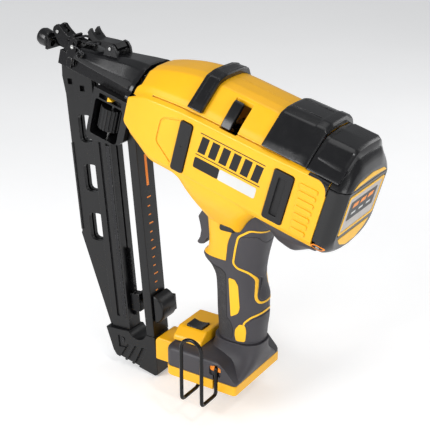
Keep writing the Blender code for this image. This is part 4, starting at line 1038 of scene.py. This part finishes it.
def build_foot():
    """The dark foot with its dock, yellow rim, mode housing and belt hook."""
    slab = foot_block(((RIM_Z + GAP, 0.0, 0.0, 0.6), (23.5, 0.0, 0.0, 0.6), (25.2, 0.4, 0.0, 1.1),
                       (26.6, 1.4, 0.0, 2.3), (27.4, 3.0, 0.0, 4.2), (29.0, 9.0, 0.0, 12.4)))
    slope = [(39.0, 9.6), (25.5, 24.0), (14.0, 28.2), (2.0, 30.0), (2.0, 60.0), (60.0, 60.0), (60.0, 9.6)]
    body = shaped(slab, cut=[prism(eased(slope, 3.0, 5, closed=True), -60, 60)])
    front_hole = (HOOK_X[0], -HOOK_SOCKET), HOOK_WIRE + 0.25, -10, 17.0, "z"
    rear_hole = (HOOK_X[1], HOOK_TOP), HOOK_WIRE + 0.25, -60, -FOOT_HALF + 8.0
    piece(
        "foot_fine", WORLD, body, GREY, "grey_plastic", stands_for=("foot",), add=[foot_flare()],
        cut=[
            box((DOCK_FRONT, -DOCK_HALF, -5), (DOCK_REAR, DOCK_HALF, DOCK_DEPTH)),
            loft([squircle(4.0, 26.0, 12.5, 10.0), squircle(4.0, 40.0, 12.5, 43.0)]),
            prism(rounded((HOOK_X[1] - 2.6, 3.0), (HOOK_X[1] + 2.6, 24.0), 1.6), -60, -FOOT_HALF + 3.4),
            prism(rounded((HOOK_X[1] - 6.4, 13.4), (HOOK_X[1] + 5.2, 22.6), 2.0), -60, -FOOT_HALF + 2.6),
            rod(*rear_hole),
            rod(*front_hole),
        ],
    )
    rim = foot_block(((0.0, 0.5, 0.5, 0.5), (0.6, 0.0, 0.0, 0.0), (RIM_Z - 0.4, 0.0, 0.0, 0.0),
                      (RIM_Z, 0.4, 0.4, 0.4)))
    piece(
        "foot_rim_fine", WORLD, rim, YELLOW, "yellow_plastic", stands_for=("foot_rim",),
        cut=[
            box((DOCK_FRONT, -24.4, -5), (DOCK_REAR, 24.4, 20)),
            box((DOCK_FRONT, -DOCK_HALF, -5), (-3.0, DOCK_HALF, 20)),
            box((DOCK_FRONT, -DOCK_HALF, 4.0), (DOCK_REAR, DOCK_HALF, 20)),
            box((HOOK_X[1] - 2.6, -60, -5.0), (HOOK_X[1] + 2.6, -FOOT_HALF + 3.4, 24.0)),
            rod(*front_hole),
        ],
    )
    housing = [(-26.0, 29.3), (26.0, 29.3), (25.5, 32.5), (16.5, 39.5), (-16.5, 39.5), (-25.5, 32.5)]
    housing = softened(prism(housing, FOOT_FRONT + 1.0, -4.0, "x"), 1.9, 29.3)
    piece("mode_housing_fine", WORLD, housing, YELLOW, "yellow_plastic", stands_for=("mode_housing",),
          cut=[prism(rounded((-26.0, -15.6), (-9.0, -2.4), 1.6), 34.2, 60.0, "z"),
               loft([squircle(-3.2, 60.0, 20.0, 20.0, 2.8), squircle(-3.2, 60.0, 20.0, 60.0, 2.8)])])
    plate = prism(rounded((11.8, 17.4), (23.0, 22.4), 1.6), -FOOT_HALF + 1.9, -FOOT_HALF + 3.0)
    piece("hook_socket_plate", WORLD, plate, ORANGE, "yellow_plastic",
          cut=[rod((HOOK_X[1], HOOK_TOP), HOOK_WIRE + 0.2, -60, 0)], bevel=0.25, segments=1)
    build_hook()


def build_hook():
    """The wire belt hook: both legs leave the foot's left side, run under and rise in one loop."""
    front, rear = HOOK_X
    side = -FOOT_HALF + HOOK_WIRE - 0.4
    top = 45.0
    middle, reach = (front + rear) / 2, (rear - front) / 2
    arc = []
    for k in range(1, 24):
        a = math.pi * k / 24
        arc.append((middle - reach * math.cos(a), HOOK_Y, top + reach * math.sin(a)))
    start = eased([(front, -HOOK_SOCKET, 15.0), (front, -HOOK_SOCKET, HOOK_LOW), (front, HOOK_Y, HOOK_LOW),
                   (front, HOOK_Y, top)], 4.5, 8)
    end = eased([(rear, HOOK_Y, top), (rear, HOOK_Y, HOOK_LOW), (rear, side, HOOK_LOW),
                 (rear, side, HOOK_TOP), (rear, -FOOT_HALF + 7.0, HOOK_TOP)], 3.8, 8)
    piece("belt_hook_fine", WORLD, tube(start + arc + end, HOOK_WIRE - 0.01, 18), HOOK_STEEL, "black_steel",
          stands_for=("belt_hook",))


# ---------------------------------------------------------------- nose and magazine


# u, top, half width of the flat top, shoulder, how far the shoulder drops, half width, foot of the side
COVER_ROWS = (
    (-158.0, 13.0, 7.0, 12.5, 1.6, 16.0, 8.0),
    (-140.0, 16.8, 8.0, 14.6, 2.0, 18.2, 9.5),
    (-120.0, 21.2, 8.5, 15.4, 2.4, 19.4, 10.5),
    (-104.5, 24.8, 9.0, 16.4, 2.8, 20.4, 12.0),
    (-96.0, 26.6, 10.0, 17.6, 3.4, 21.4, 12.6),
    (NOSE_END - GAP, 28.6, 12.0, 20.0, 4.4, 24.0, 12.6),
)
# u, top, half width, ledge of the collar that flares out to meet the yellow shell
COLLAR_ROWS = ((-104.5, 19.0, 18.0, 11.0), (-98.0, 21.0, 20.0, 9.6), (-93.0, 23.0, 24.0, 8.8),
               (-89.6, 26.0, 30.0, 8.2), (-88.0, 28.2, 35.0, 7.9), (-87.2, 28.8, 35.8, 7.8),
               (NOSE_END - GAP, 28.9, 35.8, 7.8))


def screw(name, space, centre, radius, lo, hi, paint=STEEL):
    """A pan head screw across the tool, its head at hi, with a six-point socket."""
    star = []
    for i in range(12):
        a = math.tau * i / 12
        reach = radius * (0.56 if i % 2 else 0.36)
        star.append((centre[0] + reach * math.cos(a), centre[1] + reach * math.sin(a)))
    depth = (hi - lo) * 0.45
    piece(name, space, rod(centre, radius, *sorted((lo, hi)), sides=28), paint, "bright_steel",
          cut=[prism(star, *sorted((hi - depth, hi + depth)))], bevel=radius * 0.12)


def magazine_place(bm):
    """A shape drawn in the magazine's frame, in world millimetres."""
    for vert in bm.verts:
        vert.co = (MAGAZINE @ (vert.co * MM)) / MM
    return bm


def build_magazine():
    """The magazine's body, spine, end cap, bracket and pusher, and the orange marks on the spine."""
    refine("magazine_body", GLASS_FILLED, 0.45, cut=magazine_pockets(), add=[magazine_lip()])
    refine("magazine_spine", GLASS_FILLED, 0.0)
    refine("magazine_end_cap", GLASS_FILLED, 0.5, cut=end_cap_pockets())
    refine("magazine_bracket", YELLOW, 0.6)
    repaint(STEEL_DARK, "magazine_strip")
    refine("pusher", BLACK_STEEL, 0.2)
    refine("pusher_knob", GLASS_FILLED, 1.1, 4)
    screw("end_cap_screw", MAGAZINE, (0.0, -111.0), 2.7, -SPINE_HALF + 1.25, -SPINE_HALF + 0.35, STEEL_DARK)
    marks = [("spine_bar", -1.5, 42.0, 1.7, 70.0, 0.12)]
    for k in range(13):
        low = 31.0 - 8.0 * k
        width = 5.4 if k % 3 == 0 else 3.2
        marks.append((f"spine_tick_{k}", -2.7, low, width - 2.7, low + 1.1, 0.1))
    for name, left, low, right, high, proud in marks:
        shape = prism(slanted(left, low, right, high, 0.0), SPINE_REAR - 0.5, SPINE_REAR + proud, "x")
        piece(name, MAGAZINE, shape, ORANGE, "yellow_plastic")


def magazine_pockets():
    """Two square pockets high on the left of the front plate."""
    cuts = []
    for x, z in ((-35.0, 127.0), (-22.0, 121.5)):
        cuts.append(magazine_place(box((x, -6.0, z), (x + 5.2, -1.2, z + 5.2))))
    return cuts


def magazine_lip():
    """A lip down the front edge of the plate's left side."""
    lip = [(-38.4, 74.0), (-36.6, 74.0), (-36.6, -8.0), (-38.4, -8.0)]
    return magazine_place(prism(lip, -5.5, -4.0))


def end_cap_pockets():
    """Slanted pockets between the ribs on both sides of the end cap."""
    cuts = []
    for side in (LEFT, RIGHT):
        for k in range(3):
            base = 6.0 + 8.4 * k
            outline = [(base, -113.6), (base + 5.6, -113.6), (base + 5.6 - 12.0, -133.0 - 1.6 * k),
                       (base - 12.0, -131.0 - 1.6 * k)]
            outline = [(max(-6.5, min(35.5, x)), z) for x, z in outline]
            cuts.append(magazine_place(prism(outline, *span(side, SPINE_HALF - 2.4, 20))))
    return cuts


def cover_skin():
    def section(top, flat, shoulder, drop, half, foot):
        return [(0.0, top), (flat, top), (shoulder, top - drop), (half, foot), (half, 4.0), (0.0, 4.0)]

    return symmetric(smooth_rows(COVER_ROWS, 6), section, 1.1)


def collar_skin():
    def section(top, half, ledge):
        return barrel_half(top, half, ledge, 3.0, -4.0, 0.0)

    return symmetric(smooth_rows(COLLAR_ROWS), section, 2.0)


def cover_hollow():
    def section(top, flat, shoulder, drop, half, foot):
        inner = min(half, 19.5) - 3.6
        return [(0.0, top - 2.2), (flat - 0.8, top - 2.2), (shoulder - 1.6, top - drop - 1.8), (inner, foot),
                (inner, -4.0), (0.0, -4.0)]

    ends = ((0, WALL), (2, 0.0), (3, 0.0), (5, 6.0))
    rows = [(COVER_ROWS[row][0] + shift, *COVER_ROWS[row][1:]) for row, shift in ends]
    return symmetric(rows, section, 0.0, fine=False)


def build_nose_cover():
    """The black cover with its two lugs and flared collar, and the wall behind it."""
    lug = [(-133.0, 15.6), (-131.0, 25.0), (-128.5, 28.4), (-124.5, 28.2), (-121.0, 25.0), (-118.0, 18.6)]
    lugs = [prism(lug, *span(side, 8.6, 11.0)) for side in (LEFT, RIGHT)]
    piece(
        "nose_cover_fine", BARREL, cover_skin(), BLACK, "black_plastic", stands_for=("nose_cover",),
        add=lugs + [collar_skin()],
        cut=[
            cover_hollow(),
            box((-115.0, -60.0, -20.0), (-80.0, 60.0, 4.0)),
            box((-170.0, -14.2, -6.0), (-150.0, 14.2, 11.0)),
            rod((-127.0, 25.0), 1.6, -20, 20),
        ],
    )
    # a dark wall just inside the shell's open front, which follows its edge under the nose
    wall = [(-83.3, 40.0), (-83.3, -12.4), (-78.2, -25.9), (-59.4, -32.2), (-56.3, -36.0), (-56.3, -60.0),
            (-54.6, -60.0), (-54.6, -35.2), (-58.4, -30.4), (-76.9, -24.5), (-81.7, -12.0), (-81.7, 40.0)]
    piece("nose_bulkhead", BARREL, prism(wall, -60.0, 60.0), GLASS_FILLED, "black_plastic",
          keep=[barrel_skin(-WALL - 0.25, 0.0, fine=False)],
          cut=[box((-90.0, -19.4, -37.0), (-50.0, 19.4, 19.0))])


def build_nose():
    """The cover, the steel nose and its door, the latch with its spring, and the contact safety."""
    build_nose_cover()
    for node in ("nosepiece", "nose_door"):
        refine(node, BLACK_STEEL, 0.35)
    refine("contact_trip", BLACK_STEEL, 0.3)
    refine("latch_lever", GLASS_FILLED, 0.45)
    refine("latch_bail", STEEL_DARK, 0.0)
    refine("no_mar_pad", BLACK, 2.4, 5)
    repaint(STEEL, "door_pin", "latch_pin")
    spring = [(-161.0, -15.6, 15.0), (-155.0, -15.9, 14.6)]
    turns, per_turn, coil, pitch = 4, 20, 2.6, 0.95
    for i in range(turns * per_turn + 1):
        a = math.tau * i / per_turn
        y = -16.4 - pitch * i / per_turn
        spring.append((-150.5 + coil * math.cos(a), y, 11.6 + coil * math.sin(a)))
    piece("latch_spring", BARREL, tube(spring, 0.5, 10), STEEL_DARK, "black_steel")
    screw("nose_rivet", BARREL, (-163.4, 12.0), 1.7, -13.0, -13.9)
    bright = eased([(-160.0, 15.4), (-147.0, 19.5), (-146.4, 18.9), (-159.4, 14.8)], 0.2, 3, closed=True)
    piece("nose_bright_plate", BARREL, prism(bright, -5.4, 5.4), STEEL, "bright_steel")


def build_depth_adjust():
    """The depth adjuster's frame and wheel, with its pointer drawn as an arrow."""
    refine("depth_frame", GLASS_FILLED, 0.5)
    refine("depth_wheel", GLASS_FILLED, 0.25)
    arrow = [(-115.4, -16.8), (-110.2, -14.8), (-115.4, -12.8)]
    piece("depth_pointer_fine", BARREL, prism(arrow, -17.9, -12.6), YELLOW_TRIM, "yellow_plastic",
          "depth_pointer", ("depth_pointer",), bevel=0.15, segments=1)
    repaint(STEEL, "depth_screw")


def build_small_parts():
    """The controls, the drive inside the shell and the shell's screws on the right side."""
    for node, paint, bevel in (("stall_lever", BLACK, 0.0), ("trigger", GREY, 0.35),
                               ("lock_button", BLACK, 0.2), ("mode_rocker", BLACK, 0.25),
                               ("terminal_block", GLASS_FILLED, 0.3)):
        refine(node, paint, bevel)
    repaint(STEEL, "trigger_pin", "arm_pin", "driver", "return_rail_left", "return_rail_right",
            "return_spring_left", "return_spring_right", "flywheel", "motor_shaft", "motor_bearing_left",
            "motor_bearing_right", "pinch_roller", "solenoid_plunger")
    repaint(COPPER, "motor_stator", "solenoid")
    repaint(BOARD, "control_board")
    repaint(GLASS_FILLED, "trigger_switch")
    repaint(BLACK_STEEL, "roller_arm")
    repaint(RUBBER, "bumper")
    screws = ((-60.0, 8.0), (-40.0, -20.0), (40.0, -22.0), (96.0, -22.0), (90.0, 14.0))
    for number, (u, w) in enumerate(screws):
        head = HALF_WIDTH - 0.3 if u > -50 else 39.6
        screw(f"shell_screw_{number}", BARREL, (u, w), 2.6, HALF_WIDTH - 1.5, head)


# ---------------------------------------------------------------- stage


def build_stage():
    """A pale floor under the belt hook, a soft even sky and five square lamps."""
    reach = FLOOR_REACH
    floor = add_mesh("floor", WORLD, box((-reach, -reach, -60), (reach, reach, FLOOR_Z)))
    floor.data.materials.append(pale("pale_floor"))
    world = bpy.data.worlds.new("studio")
    world.use_nodes = True
    background = world.node_tree.nodes["Background"]
    background.inputs["Color"].default_value = (0.95, 0.97, 1.0, 1.0)
    background.inputs["Strength"].default_value = 0.34
    bpy.context.scene.world = world
    # name, where it stands from the target in metres, size, watts
    for name, offset, size, power in (
        ("key", (-0.5, -1.1, 0.5), 0.7, 13.0),
        ("fill", (1.1, -0.6, 0.2), 0.6, 4.0),
        ("top", (0.1, 0.1, 1.3), 0.9, 3.6),
        ("back", (0.4, 1.1, 0.45), 0.5, 2.0),
        ("glint", (0.75, -0.35, 1.05), 0.14, 2.6),
    ):
        data = bpy.data.lights.new(name, "AREA")
        data.shape, data.size, data.energy = "SQUARE", size, power
        lamp = bpy.data.objects.new(name, data)
        lamp.location = CAMERA_TARGET + Vector(offset)
        lamp.rotation_euler = (-Vector(offset)).to_track_quat("-Z", "Y").to_euler()
        bpy.context.scene.collection.objects.link(lamp)


def build_camera():
    back = Vector((math.sin(CAMERA_AZIMUTH) * math.cos(CAMERA_HEIGHT),
                   -math.cos(CAMERA_AZIMUTH) * math.cos(CAMERA_HEIGHT), math.sin(CAMERA_HEIGHT)))
    data = bpy.data.cameras.new("camera")
    data.sensor_width, data.lens = 36.0, CAMERA_LENS
    data.clip_start, data.clip_end = 0.01, 20.0
    camera = bpy.data.objects.new("camera", data)
    camera.location = CAMERA_TARGET + back * CAMERA_DISTANCE
    camera.rotation_euler = (-back).to_track_quat("-Z", "Y").to_euler()
    bpy.context.scene.collection.objects.link(camera)
    bpy.context.scene.camera = camera


bpy.context.scene.view_settings.view_transform = "Standard"
for build in (build_camera, build_stage, build_shell, build_panel_details, build_grip, build_cap_screw,
              build_cap_corners, build_cap, build_guards, build_pads, build_foot, build_magazine, build_nose,
              build_depth_adjust, build_small_parts):
    build()
